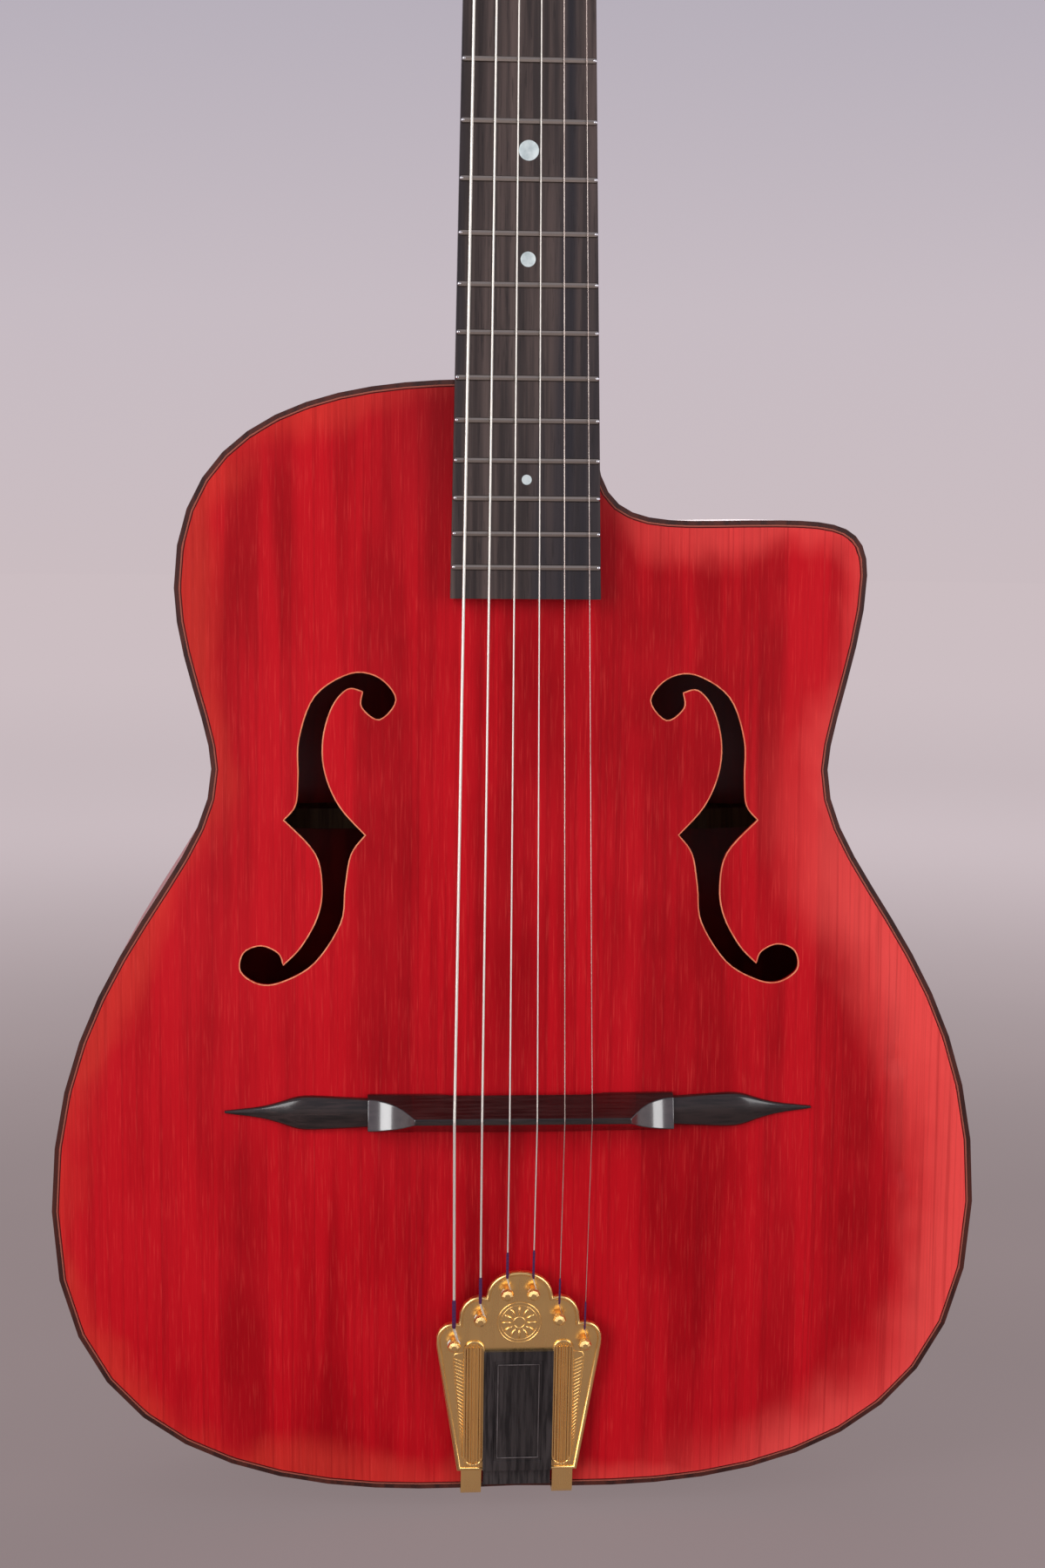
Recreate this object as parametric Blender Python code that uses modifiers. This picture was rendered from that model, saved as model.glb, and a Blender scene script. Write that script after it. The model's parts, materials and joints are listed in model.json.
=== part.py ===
"""Archtop-style gypsy jazz guitar with f-holes, a cutaway, a floating bridge and a slotted head.

The guitar stands upright: +Z runs from the tail to the head, -Y is the front of the soundboard and
+X is the treble side. The origin is the middle of the tail end, halfway through the body's depth.
Each piece is modelled in a working frame whose X runs across, Y along and Z out of the face.
"""
import math

import bmesh
import bpy
from mathutils import Matrix, Vector

MM = 0.001

# Clearances
SEAT_GAP = 0.3 * MM
INLAY_GAP = 0.12 * MM
FRET_SEAT = 0.5 * MM
TURNING_GAP = 0.3 * MM

# Body outline
BODY_LENGTH = 463.3 * MM
BODY_DEPTH = 96 * MM
LOWER_BOUT = 386 * MM
LOWER_BOUT_Y = 0.26333 * BODY_LENGTH
WAIST = 252.8 * MM
WAIST_Y = 0.66048 * BODY_LENGTH
UPPER_BOUT = 281.6 * MM
SHOULDER_Y = 0.81804 * BODY_LENGTH
HORN_SIDE_Y = 0.83315 * BODY_LENGTH
HORN_TOP_X = 104 * MM
HORN_TOP_Y = 0.88085 * BODY_LENGTH
CUTAWAY_END_Y = 0.9605 * BODY_LENGTH

# Body walls
RIB_THICKNESS = 2.0 * MM
BINDING_WIDTH = 1.8 * MM
BINDING_DROP = 5.0 * MM
TOP_THICKNESS = 2.8 * MM
BACK_THICKNESS = 2.5 * MM
LINING_WIDTH = 5.5 * MM
LINING_DEPTH = 13 * MM
TOP_ARCH = 8.5 * MM
BACK_ARCH = 13 * MM
CUTAWAY_FLARE = 70 * MM
GRID_CELL = 27 * MM

# Blocks and braces
BLOCK_LENGTH = 58 * MM
BLOCK_WIDTH_BASS = 36 * MM
TAIL_BLOCK_WIDTH = 78 * MM
TAIL_BLOCK_LENGTH = 24 * MM
TOP_BRACE_WIDTH = 8 * MM
TOP_BRACE_HEIGHT = 16 * MM
TOP_BRACE_SHARES = (0.08202, 0.18131, 0.27628, 0.44032, 0.78999)
TOP_BRACE_YS = tuple(share * BODY_LENGTH for share in TOP_BRACE_SHARES)
BACK_BRACE_WIDTH = 9 * MM
BACK_BRACE_HEIGHT = 15 * MM
BACK_BRACE_SHARES = (0.15541, 0.35614, 0.59357, 0.80294)
BACK_BRACE_YS = tuple(share * BODY_LENGTH for share in BACK_BRACE_SHARES)
BRACE_END_HEIGHT = 5 * MM
BRACE_END_RUN = 34 * MM

# Strings and neck
SCALE_LENGTH = 670 * MM
JOINT_FRET = 14
LAST_FRET = 19
STRING_HEIGHT = 26 * MM
ACTION_DROP = 5.5 * MM
NECK_ANGLE = math.radians(2.03)
NUT_WIDTH = 44.6 * MM
FINGERBOARD_END_WIDTH = 60.4 * MM
FINGERBOARD_THICKNESS = 6.0 * MM
FRET_HEIGHT = 1.0 * MM
FRET_WIDTH = 2.5 * MM
FRET_END_INSET = 0.6 * MM
NECK_DEPTH_NUT = 14.5 * MM
NECK_DEPTH_HEEL = 17 * MM
HEEL_FOOT = 27 * MM
HEEL_SWEEP = 52 * MM
HEEL_FOOT_WIDTH = 24 * MM
HEEL_CAP_THICKNESS = 3.0 * MM
TENON_WIDTH = 18 * MM
TENON_FLARE = 4 * MM
TENON_LENGTH = 16 * MM
TENON_DEPTH = 74 * MM
NECK_BAR_WIDTH = 8 * MM
NECK_BAR_DEPTH = 7 * MM
NECK_BAR_START = 0.47164 * SCALE_LENGTH
NECK_BAR_END = SCALE_LENGTH - 8 * MM
NUT_THICKNESS = 4.2 * MM
NUT_OVER_STRING = 1.2 * MM
NUT_STRING_SPAN = 38 * MM
BRIDGE_STRING_SPAN = 56 * MM
STRING_DIAMETERS = (1.17 * MM, 0.89 * MM, 0.66 * MM, 0.53 * MM, 0.38 * MM, 0.3 * MM)
STRING_CLEARANCE = 0.32 * MM

# Head and tuners
HEAD_ANGLE = math.radians(14)
HEAD_LENGTH = 166 * MM
HEAD_WIDTH = 64 * MM
HEAD_TOP_WIDTH = 71 * MM
HEAD_THICKNESS = 16 * MM
HEAD_PLATE_THICKNESS = 1.5 * MM
HEAD_FACE_DROP = 6.0 * MM
SLOT_WIDTH = 13.5 * MM
SLOT_CENTRE_X = 19.25 * MM
SLOT_START = 17 * MM
SLOT_LENGTH = 112 * MM
POST_SPACING = 35 * MM
FIRST_POST_Y = 39 * MM
POST_DEPTH = 7.6 * MM
POST_RADIUS = 3.0 * MM
POST_BORE_DEPTH = 7 * MM
SIDE_PLATE_THICKNESS = 1.2 * MM
SIDE_PLATE_WIDTH = 13 * MM
SIDE_PLATE_MARGIN = 14 * MM
WORM_WHEEL_TEETH = 14
WORM_WHEEL_RADIUS = 6.2 * MM
WORM_TOOTH_DEPTH = 1.2 * MM
WORM_WHEEL_WIDTH = 3.0 * MM
WORM_RADIUS = 2.3 * MM
WORM_LENGTH = 7.4 * MM
WORM_SHAFT_RADIUS = 1.3 * MM
WORM_LUG_THICKNESS = 1.6 * MM
BUTTON_REACH = 25.5 * MM
BUTTON_LENGTH = 15 * MM
BUTTON_WIDTH = 18 * MM
BUTTON_THICKNESS = 8.5 * MM
WINDING_TURNS = 2.25
WINDING_POINTS = 9
WINDING_GAP = 0.55 * MM

# Bridge and moustaches
BRIDGE_LENGTH = 126 * MM
BRIDGE_WIDTH = 15.4 * MM
BRIDGE_CREST_WIDTH = 2.2 * MM
BRIDGE_END_HEIGHT = 6.5 * MM
BRIDGE_SCOOP = 19 * MM
BRIDGE_ARCH_HALF = 34 * MM
BRIDGE_ARCH_HEIGHT = 3 * MM
MOUSTACHE_LENGTH = 58.4 * MM
MOUSTACHE_WIDTH = 14 * MM
MOUSTACHE_THICKNESS = 5.0 * MM

# Tailpiece
TAILPIECE_LENGTH = 99.7 * MM
TAILPIECE_FOOT = 9.3 * MM
TAILPIECE_THICKNESS = 1.6 * MM
TAILPIECE_LIFT = 2.2 * MM
TAILPIECE_ANGLE = math.radians(6.5)
TAILPIECE_FOOT_HALF = 25.2 * MM
TAILPIECE_SHOULDER_HALF = 34.4 * MM
TAILPIECE_SHOULDER_Y = 67 * MM
LEG_INNER_X = 15.0 * MM
LEG_WIDTH = 8.6 * MM
LEG_DROP = 33 * MM
LEG_BEND_RADIUS = 2.4 * MM
TAIL_BULGE = 0.65 * MM
TAIL_INLAY_WIDTH = 29 * MM
TAIL_INLAY_START = 9.8 * MM
TAIL_INLAY_LENGTH = 54.6 * MM
TAIL_INLAY_THICKNESS = 1.5 * MM
TAIL_INLAY_BORDER = 6 * MM
TAIL_INLAY_RECESS = 0.5 * MM
FLUTE_COUNT = 6
FLUTE_HEIGHT = 0.8 * MM
FLUTE_PANEL_WIDTH = 7.2 * MM
PIN_PLACES = ((27.2 * MM, 68.2 * MM), (16.4 * MM, 79.6 * MM), (5.4 * MM, 91.0 * MM))
PIN_HEAD_RADIUS = 2.8 * MM
PIN_STEM_RADIUS = 1.3 * MM
PIN_STEM_HEIGHT = 2.4 * MM
TAIL_STRIP_WIDTH = 28.4 * MM
TAIL_STRIP_LENGTH = 6.2 * MM

# End pin
END_PIN_RADIUS = 7.2 * MM
END_PIN_LENGTH = 11 * MM
END_PIN_SHANK_RADIUS = 4.5 * MM
END_PIN_SHANK_LENGTH = 20 * MM

# Places that follow from the sizes above
JOINT_DISTANCE = SCALE_LENGTH * 2 ** (-JOINT_FRET / 12)
BRIDGE_Y = BODY_LENGTH - JOINT_DISTANCE * math.cos(NECK_ANGLE)
FINGERBOARD_END = SCALE_LENGTH * 2 ** (-(LAST_FRET + 1) / 12)
FINGERBOARD_TOP = -FRET_HEIGHT
FINGERBOARD_UNDER = FINGERBOARD_TOP - FINGERBOARD_THICKNESS
NECK_TOP = FINGERBOARD_UNDER - SEAT_GAP
FINGERBOARD_HEAD_END = SCALE_LENGTH + 1.6 * MM
NUT_START = FINGERBOARD_HEAD_END + SEAT_GAP
NUT_END = NUT_START + NUT_THICKNESS
HEAD_START = NUT_END + SEAT_GAP
PLATE_INSET = BINDING_WIDTH + SEAT_GAP
LEG_FACE = TAIL_BULGE + SEAT_GAP
LINING_INSET = RIB_THICKNESS + SEAT_GAP
LINING_INNER = LINING_INSET + LINING_WIDTH
TENON_TOP = -10 * MM
POST_YS = tuple(FIRST_POST_Y + i * POST_SPACING for i in range(3))
SIDE_PLATE_INNER_X = HEAD_WIDTH / 2 + SEAT_GAP / 2
SIDE_PLATE_OUTER_X = SIDE_PLATE_INNER_X + SIDE_PLATE_THICKNESS
WHEEL_INNER_X = SIDE_PLATE_OUTER_X + 1.2 * MM
WHEEL_MIDDLE_X = WHEEL_INNER_X + WORM_WHEEL_WIDTH / 2
WORM_OFFSET_Y = WORM_WHEEL_RADIUS + WORM_RADIUS + TURNING_GAP

# Working frames
BODY = Matrix.Translation((0, -BODY_DEPTH / 2, 0)) @ Matrix.Rotation(math.pi / 2, 4, "X")
NECK = (BODY @ Matrix.Translation((0, BRIDGE_Y, STRING_HEIGHT - ACTION_DROP))
        @ Matrix.Rotation(-NECK_ANGLE, 4, "X"))
HEAD = (NECK @ Matrix.Translation((0, HEAD_START, -HEAD_FACE_DROP))
        @ Matrix.Rotation(-HEAD_ANGLE, 4, "X"))
TAIL = (BODY @ Matrix.Translation((0, 0, TAILPIECE_LIFT))
        @ Matrix.Rotation(TAILPIECE_ANGLE, 4, "X"))


# Scene set-up
def clear_scene():
    for item in list(bpy.data.objects):
        bpy.data.objects.remove(item, do_unlink=True)


def new_collection(name):
    collection = bpy.data.collections.new(name)
    bpy.context.scene.collection.children.link(collection)
    return collection


clear_scene()
PARTS = new_collection("gypsy_jazz_guitar")
CUTTERS = new_collection("cutters")
CUTTERS.hide_render = True


def make_material(name, colour, roughness, metallic=0.0):
    material = bpy.data.materials.new(name)
    material.use_nodes = True
    shader = material.node_tree.nodes["Principled BSDF"]
    shader.inputs["Base Color"].default_value = (*colour, 1.0)
    shader.inputs["Roughness"].default_value = roughness
    shader.inputs["Metallic"].default_value = metallic
    return material


RED_SPRUCE = make_material("red_spruce", (0.52, 0.012, 0.018), 0.38)
RED_MAPLE = make_material("red_maple", (0.36, 0.012, 0.012), 0.3)
DARK_ROSEWOOD = make_material("dark_rosewood", (0.035, 0.012, 0.008), 0.3)
BARE_SPRUCE = make_material("bare_spruce", (0.62, 0.44, 0.26), 0.7)
MAHOGANY = make_material("mahogany", (0.28, 0.12, 0.06), 0.6)
EBONY = make_material("ebony", (0.02, 0.018, 0.017), 0.4)
BRASS = make_material("brass", (0.72, 0.47, 0.17), 0.28, 1.0)
STEEL = make_material("steel", (0.72, 0.72, 0.74), 0.25, 1.0)
BONE = make_material("bone", (0.83, 0.78, 0.66), 0.4)
BUTTON_PEARL = make_material("button_pearl", (0.86, 0.82, 0.72), 0.25)
DURALUMIN = make_material("duralumin", (0.6, 0.62, 0.64), 0.4, 1.0)


def link_object(name, data, frame, material=None, collection=PARTS):
    item = bpy.data.objects.new(name, data)
    collection.objects.link(item)
    item.matrix_world = frame
    if material is not None:
        data.materials.clear()
        data.materials.append(material)
    if collection is CUTTERS:
        item.hide_render = True
        item.display_type = "WIRE"
    return item


def mesh_of(name, bm):
    bmesh.ops.recalc_face_normals(bm, faces=bm.faces)
    mesh = bpy.data.meshes.new(name)
    bm.to_mesh(mesh)
    bm.free()
    return mesh


def smooth(item, angle=35):
    item.data.shade_smooth()
    item.data.set_sharp_from_angle(angle=math.radians(angle))
    return item


# Shapes
def box_mesh(name, low, high):
    bm = bmesh.new()
    bmesh.ops.create_cube(bm, size=1)
    low, high = Vector(low), Vector(high)
    size = high - low
    bmesh.ops.scale(bm, vec=size, verts=bm.verts)
    bmesh.ops.translate(bm, vec=(low + high) / 2, verts=bm.verts)
    return mesh_of(name, bm)


def rods_mesh(name, places, radius, length, axis, segments=8):
    """Separate round rods of one size, each centred on its place and along axis."""
    turn = Vector((0, 0, 1)).rotation_difference(Vector(axis)).to_matrix().to_4x4()
    bm = bmesh.new()
    for place in places:
        bmesh.ops.create_cone(bm, cap_ends=True, segments=segments, radius1=radius, radius2=radius,
                              depth=length, matrix=Matrix.Translation(place) @ turn)
    return mesh_of(name, bm)


def turned_object(name, profile, frame, material, steps=10):
    """A profile of (radius, height) points, top to bottom down its outer side, turned about Z."""
    mesh = bpy.data.meshes.new(name)
    points = [(radius, 0, height) for radius, height in profile]
    mesh.from_pydata(points, [(i, i + 1) for i in range(len(points) - 1)], [])
    item = link_object(name, mesh, frame, material)
    screw = item.modifiers.new("turn", "SCREW")
    screw.steps = steps
    screw.render_steps = steps
    screw.use_merge_vertices = True
    screw.merge_threshold = 0.00001
    screw.use_smooth_shade = True
    screw.use_normal_calculate = False
    return item


def mesh_from_curve(curve_item, name):
    """The evaluated curve as a welded mesh object in the same place."""
    bpy.context.view_layer.update()
    evaluated = curve_item.evaluated_get(bpy.context.evaluated_depsgraph_get())
    mesh = bpy.data.meshes.new_from_object(evaluated)
    mesh.name = name
    bm = bmesh.new()
    bm.from_mesh(mesh)
    bmesh.ops.remove_doubles(bm, verts=bm.verts, dist=0.000001)
    bmesh.ops.recalc_face_normals(bm, faces=bm.faces)
    bm.to_mesh(mesh)
    bm.free()
    place = curve_item.matrix_world.copy()
    material = curve_item.data.materials[0] if curve_item.data.materials else None
    collection = curve_item.users_collection[0]
    bpy.data.objects.remove(curve_item, do_unlink=True)
    return link_object(name, mesh, place, material, collection)


def flat_object(name, loops, low, high, frame, material=None, collection=PARTS):
    """A flat outline, with any holes, from height low to height high of its frame."""
    curve = bpy.data.curves.new(name, "CURVE")
    curve.dimensions = "2D"
    curve.fill_mode = "BOTH"
    curve.extrude = (high - low) / 2
    for loop in loops:
        spline = curve.splines.new("POLY")
        spline.points.add(len(loop) - 1)
        for point, (x, y) in zip(spline.points, loop):
            point.co = (x, y, 0, 1)
        spline.use_cyclic_u = True
    place = frame @ Matrix.Translation((0, 0, (low + high) / 2))
    item = link_object(name, curve, place, material, collection)
    return mesh_from_curve(item, name)


def tube_object(name, points, radius, material):
    """A round wire along points of the world."""
    curve = bpy.data.curves.new(name, "CURVE")
    curve.dimensions = "3D"
    curve.bevel_depth = radius
    curve.bevel_resolution = 1
    curve.use_fill_caps = True
    spline = curve.splines.new("POLY")
    spline.points.add(len(points) - 1)
    for point, place in zip(spline.points, points):
        point.co = (*place, 1)
    return link_object(name, curve, Matrix.Identity(4), material)


def ribbon_object(name, path, low, high, thickness, frame, material, closed=False):
    """A wall that stands on a path from height low to high, thickened towards the path's left."""
    bm = bmesh.new()
    lower = [bm.verts.new((x, y, low)) for x, y in path]
    upper = [bm.verts.new((x, y, high)) for x, y in path]
    spans = [(i, i + 1) for i in range(len(path) - 1)]
    if closed:
        spans.append((len(path) - 1, 0))
    for i, j in spans:
        bm.faces.new((lower[i], lower[j], upper[j], upper[i]))
    mesh = bpy.data.meshes.new(name)
    bm.to_mesh(mesh)
    bm.free()
    item = link_object(name, mesh, frame, material)
    wall = item.modifiers.new("wall", "SOLIDIFY")
    wall.thickness = thickness
    wall.offset = -1
    wall.use_even_offset = True
    wall.use_quality_normals = True
    wall.thickness_clamp = 0
    return item


def loft_object(name, rings, frame, material, collection=PARTS):
    """A closed body through rings of equal point counts."""
    bm = bmesh.new()
    levels = [[bm.verts.new(point) for point in ring] for ring in rings]
    count = len(levels[0])
    for near, far in zip(levels, levels[1:]):
        for i in range(count):
            j = (i + 1) % count
            bm.faces.new((near[i], near[j], far[j], far[i]))
    bm.faces.new(levels[0][::-1])
    bm.faces.new(levels[-1])
    return link_object(name, mesh_of(name, bm), frame, material, collection)


def boolean(item, other, operation):
    step = item.modifiers.new(operation.lower() + "_" + other.name, "BOOLEAN")
    step.operation = operation
    step.solver = "EXACT"
    step.object = other


def cut(item, cutter):
    boolean(item, cutter, "DIFFERENCE")


def cutter_box(name, low, high, frame):
    return link_object(name, box_mesh(name, low, high), frame, None, CUTTERS)


def cutter_rods(name, places, radius, length, axis, frame, segments=8):
    mesh = rods_mesh(name, places, radius, length, axis, segments)
    return link_object(name, mesh, frame, None, CUTTERS)


# Plane curves
def bezier(start, handle_a, handle_b, end, steps):
    """Points of a cubic curve, without its first one."""
    points = []
    for i in range(1, steps + 1):
        t = i / steps
        s = 1 - t
        a, b, c, d = s ** 3, 3 * s * s * t, 3 * s * t * t, t ** 3
        points.append((a * start[0] + b * handle_a[0] + c * handle_b[0] + d * end[0],
                       a * start[1] + b * handle_a[1] + c * handle_b[1] + d * end[1]))
    return points


def smooth_run(knots, steps):
    """A smooth line through knots, whose ends may be corners."""
    padded = [knots[0]] + list(knots) + [knots[-1]]
    points = [knots[0]]
    for a, b, c, d in zip(padded, padded[1:], padded[2:], padded[3:]):
        for i in range(1, steps + 1):
            t = i / steps
            points.append(tuple(
                0.5 * (2 * q + (r - p) * t + (2 * p - 5 * q + 4 * r - s) * t * t
                       + (3 * q - p - 3 * r + s) * t ** 3)
                for p, q, r, s in zip(a, b, c, d)))
    return points


def arc(centre, radius, start_deg, end_deg, steps):
    angles = [math.radians(start_deg + (end_deg - start_deg) * i / steps) for i in range(steps + 1)]
    return [(centre[0] + radius * math.cos(a), centre[1] + radius * math.sin(a)) for a in angles]


def inset_path(path, inset, closed):
    """The path moved to its left by inset, with mitred corners."""
    moved = []
    last = len(path) - 1
    for i, point in enumerate(path):
        before = path[i - 1] if (i > 0 or closed) else None
        after = path[(i + 1) % len(path)] if (i < last or closed) else None
        normals = []
        for a, b in ((before, point), (point, after)):
            if a is None or b is None:
                continue
            along = Vector(b) - Vector(a)
            normals.append(Vector((-along.y, along.x)).normalized())
        middle = sum(normals, Vector((0, 0))) / len(normals)
        shift = middle * (inset / middle.length_squared)
        moved.append((point[0] + shift.x, point[1] + shift.y))
    return moved


def mirrored(points):
    return [(-x, y) for x, y in points]


# The outline runs from the tail up each side
LOWER_HANDLES = (36 * MM, 139 * MM)
WAIST_HANDLES = (104 * MM, 45 * MM)
UPPER_HANDLES = (17 * MM, 27 * MM)
SHOULDER_PULL = (85.7 * MM, 46.7 * MM)
HORN_PULL = (20.4 * MM, 24.8 * MM)
CUTAWAY_PULL = (51 * MM, 45 * MM)


def lower_side():
    """The treble side from the tail to the upper bout's widest point."""
    lower = (LOWER_BOUT / 2, LOWER_BOUT_Y)
    waist = (WAIST / 2, WAIST_Y)
    points = [(0, 0)]
    points += bezier((0, 0), (LOWER_HANDLES[0], 0), (lower[0], lower[1] - LOWER_HANDLES[1]), lower, 13)
    points += bezier(lower, (lower[0], lower[1] + WAIST_HANDLES[0]),
                     (waist[0], waist[1] - WAIST_HANDLES[1]), waist, 11)
    return points


def upper_side(top_y):
    waist = (WAIST / 2, WAIST_Y)
    upper = (UPPER_BOUT / 2, top_y)
    return bezier(waist, (waist[0], waist[1] + UPPER_HANDLES[0]),
                  (upper[0], upper[1] - UPPER_HANDLES[1]), upper, 6)


def full_side():
    """One side with a rounded shoulder up to the middle of the neck joint."""
    upper = (UPPER_BOUT / 2, SHOULDER_Y)
    top = (0, BODY_LENGTH)
    shoulder = bezier(upper, (upper[0], upper[1] + SHOULDER_PULL[0]),
                      (SHOULDER_PULL[1], top[1]), top, 14)
    return lower_side() + upper_side(SHOULDER_Y) + shoulder


def heel_half_width():
    return fingerboard_half_width(JOINT_DISTANCE) - 0.3 * MM


def cutaway_side():
    """The treble side with its horn and cutaway, up to the neck joint's corner."""
    side = (UPPER_BOUT / 2, HORN_SIDE_Y)
    top = (HORN_TOP_X, HORN_TOP_Y)
    end = (heel_half_width(), CUTAWAY_END_Y)
    horn = bezier(side, (side[0], side[1] + HORN_PULL[0]), (top[0] + HORN_PULL[1], top[1]), top, 8)
    hollow = bezier(top, (top[0] - CUTAWAY_PULL[0], top[1]), (end[0], end[1] - CUTAWAY_PULL[1]), end, 11)
    return lower_side() + upper_side(HORN_SIDE_Y) + horn + hollow + [(end[0], BODY_LENGTH)]


def fingerboard_half_width(distance):
    share = (SCALE_LENGTH - distance) / (SCALE_LENGTH - FINGERBOARD_END)
    return (NUT_WIDTH + (FINGERBOARD_END_WIDTH - NUT_WIDTH) * share) / 2


BASS_SIDE = mirrored(full_side())
TREBLE_SIDE = cutaway_side()
BODY_OUTLINE = TREBLE_SIDE + [(0, BODY_LENGTH)] + BASS_SIDE[-2:0:-1]


# Arching of the plates
def side_half_width(y):
    """Half the body's width at height y, without the cutaway."""
    side = full_side()
    for (x0, y0), (x1, y1) in zip(side, side[1:]):
        if y0 <= y <= y1:
            return x0 + (x1 - x0) * (y - y0) / (y1 - y0)
    return 0.0


WIDTH_STEPS = 120
WIDTH_TABLE = [side_half_width(BODY_LENGTH * i / WIDTH_STEPS) for i in range(WIDTH_STEPS + 1)]
LEAST_ARCH_WIDTH = 100 * MM


def arch_half_width(y):
    place = min(max(y / BODY_LENGTH, 0), 1) * WIDTH_STEPS
    i = min(int(place), WIDTH_STEPS - 1)
    width = WIDTH_TABLE[i] + (WIDTH_TABLE[i + 1] - WIDTH_TABLE[i]) * (place - i)
    return max(width, LEAST_ARCH_WIDTH)


CUTAWAY_LINE = [Vector(p) for p in TREBLE_SIDE if p[1] >= HORN_SIDE_Y]


def cutaway_distance(x, y):
    """Distance to the cutaway's edge, negative in the space that is cut away."""
    point = Vector((x, y))
    best = 1.0
    for a, b in zip(CUTAWAY_LINE, CUTAWAY_LINE[1:]):
        along = b - a
        offset = point - closest_on(a, b, point)
        side = along.x * offset.y - along.y * offset.x
        distance = offset.length
        if distance < abs(best):
            best = distance if side >= 0 else -distance
    return best


def arch(x, y, rise):
    """Height of a plate's outer face over the rim."""
    across = max(1 - (x / arch_half_width(y)) ** 2, -0.5)
    if y < BRIDGE_Y:
        along = 1 - ((BRIDGE_Y - y) / BRIDGE_Y) ** 2
    else:
        along = 1 - ((y - BRIDGE_Y) / (BODY_LENGTH - BRIDGE_Y)) ** 2.5
    along = max(along, -0.5)
    if across < 0 and along < 0:
        along = -along
    share = min(max(cutaway_distance(x, y) / CUTAWAY_FLARE, 0), 1)
    return rise * across * along * (1 - (1 - share) ** 2)


def top_arch(x, y):
    return arch(x, y, TOP_ARCH)


def back_arch(x, y):
    return arch(x, y, BACK_ARCH)


# Plates
def arched_plate(name, height_at, thickness, frame, material):
    """A plate whose outer face follows height_at, cut to the outline inside the binding."""
    columns = round((LOWER_BOUT + GRID_CELL) / GRID_CELL)
    rows = round((BODY_LENGTH + GRID_CELL) / GRID_CELL)
    bm = bmesh.new()
    bmesh.ops.create_grid(bm, x_segments=columns, y_segments=rows, size=0.5)
    for vert in bm.verts:
        vert.co.x *= columns * GRID_CELL
        vert.co.y = vert.co.y * rows * GRID_CELL + BODY_LENGTH / 2
        vert.co.z = height_at(vert.co.x, vert.co.y)
    mesh = bpy.data.meshes.new(name)
    bm.to_mesh(mesh)
    bm.free()
    plate = link_object(name, mesh, frame, material)
    body = plate.modifiers.new("thickness", "SOLIDIFY")
    body.thickness = thickness
    body.offset = -1
    reach = 30 * MM
    outline = flat_object(name + "_outline", [inset_path(BODY_OUTLINE, PLATE_INSET, True)],
                          -reach, reach, frame, None, CUTTERS)
    boolean(plate, outline, "INTERSECT")
    return plate


# Sound hole, as four runs that meet in its points
HOLE_EYE_RUN = ((97.2, 285.5), (92.3, 291.7), (91.3, 303), (90.9, 318.6), (84.4, 336.1),
                (70, 345.3), (58.5, 343.6), (51.7, 334.8), (58.4, 326.6), (65.6, 331.6), (65.2, 337.9))
HOLE_INNER_RUN = ((65.2, 337.9), (71.2, 338.9), (77.4, 331.8), (81.2, 318.6), (80.4, 305),
                  (74.6, 291.4), (64, 279.6))
HOLE_FOOT_RUN = ((64, 279.6), (69.8, 271.6), (72.2, 258), (74, 243.5), (84.6, 227), (97.5, 219.2),
                 (107, 218), (114.8, 223.2), (113.6, 231), (106.4, 234), (99.4, 231), (97.4, 226.1))
HOLE_OUTER_RUN = ((97.4, 226.1), (90.2, 233.6), (83.6, 245.6), (81.6, 257.5), (84.4, 271.9),
                  (97.2, 285.5))
HOLE_STEPS = 2


def sound_hole():
    points = []
    for run in (HOLE_EYE_RUN, HOLE_INNER_RUN, HOLE_FOOT_RUN, HOLE_OUTER_RUN):
        points += smooth_run([(x * MM, y * MM) for x, y in run], HOLE_STEPS)[:-1]
    return points


def make_soundboard():
    top = arched_plate("soundboard", top_arch, TOP_THICKNESS, BODY, RED_SPRUCE)
    reach = 30 * MM
    hole = sound_hole()
    for side, outline in (("treble", hole), ("bass", mirrored(hole)[::-1])):
        cut(top, flat_object("hole_" + side, [outline], -reach, reach, BODY, None, CUTTERS))
    smooth(top, 30)


def make_back():
    plate = arched_plate("back_plate", lambda x, y: BACK_THICKNESS - back_arch(x, y), BACK_THICKNESS,
                         BODY @ Matrix.Translation((0, 0, -BODY_DEPTH)), RED_MAPLE)
    smooth(plate, 30)


def tail_hole_cutter():
    """Room for the end pin's shank through the ribs' joint."""
    place = (0, 0, -BODY_DEPTH / 2)
    return cutter_rods("end_pin_hole", [place], END_PIN_SHANK_RADIUS + TURNING_GAP,
                       2 * END_PIN_SHANK_LENGTH + 6 * MM, (0, 1, 0), BODY, 12)


def make_ribs():
    """Two bent ribs that meet at the tail and end beside the neck's tenon."""
    low = -BODY_DEPTH + BINDING_DROP + SEAT_GAP
    high = -BINDING_DROP - SEAT_GAP
    tenon_side = TENON_WIDTH / 2 + TENON_FLARE / 2 + SEAT_GAP
    half_gap = SEAT_GAP / 2
    treble = [(half_gap, 0)] + TREBLE_SIDE[1:] + [(tenon_side, BODY_LENGTH)]
    bass_run = [p for p in BASS_SIDE[1:] if p[0] < -tenon_side - MM]
    bass = [(-half_gap, 0)] + bass_run + [(-tenon_side, BODY_LENGTH)]
    hole = tail_hole_cutter()
    ribs = (("rib_treble", treble, RIB_THICKNESS), ("rib_bass", bass[::-1], RIB_THICKNESS))
    for name, path, thickness in ribs:
        rib = ribbon_object(name, path, low, high, thickness, BODY, RED_MAPLE)
        cut(rib, hole)
        smooth(rib)


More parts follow.
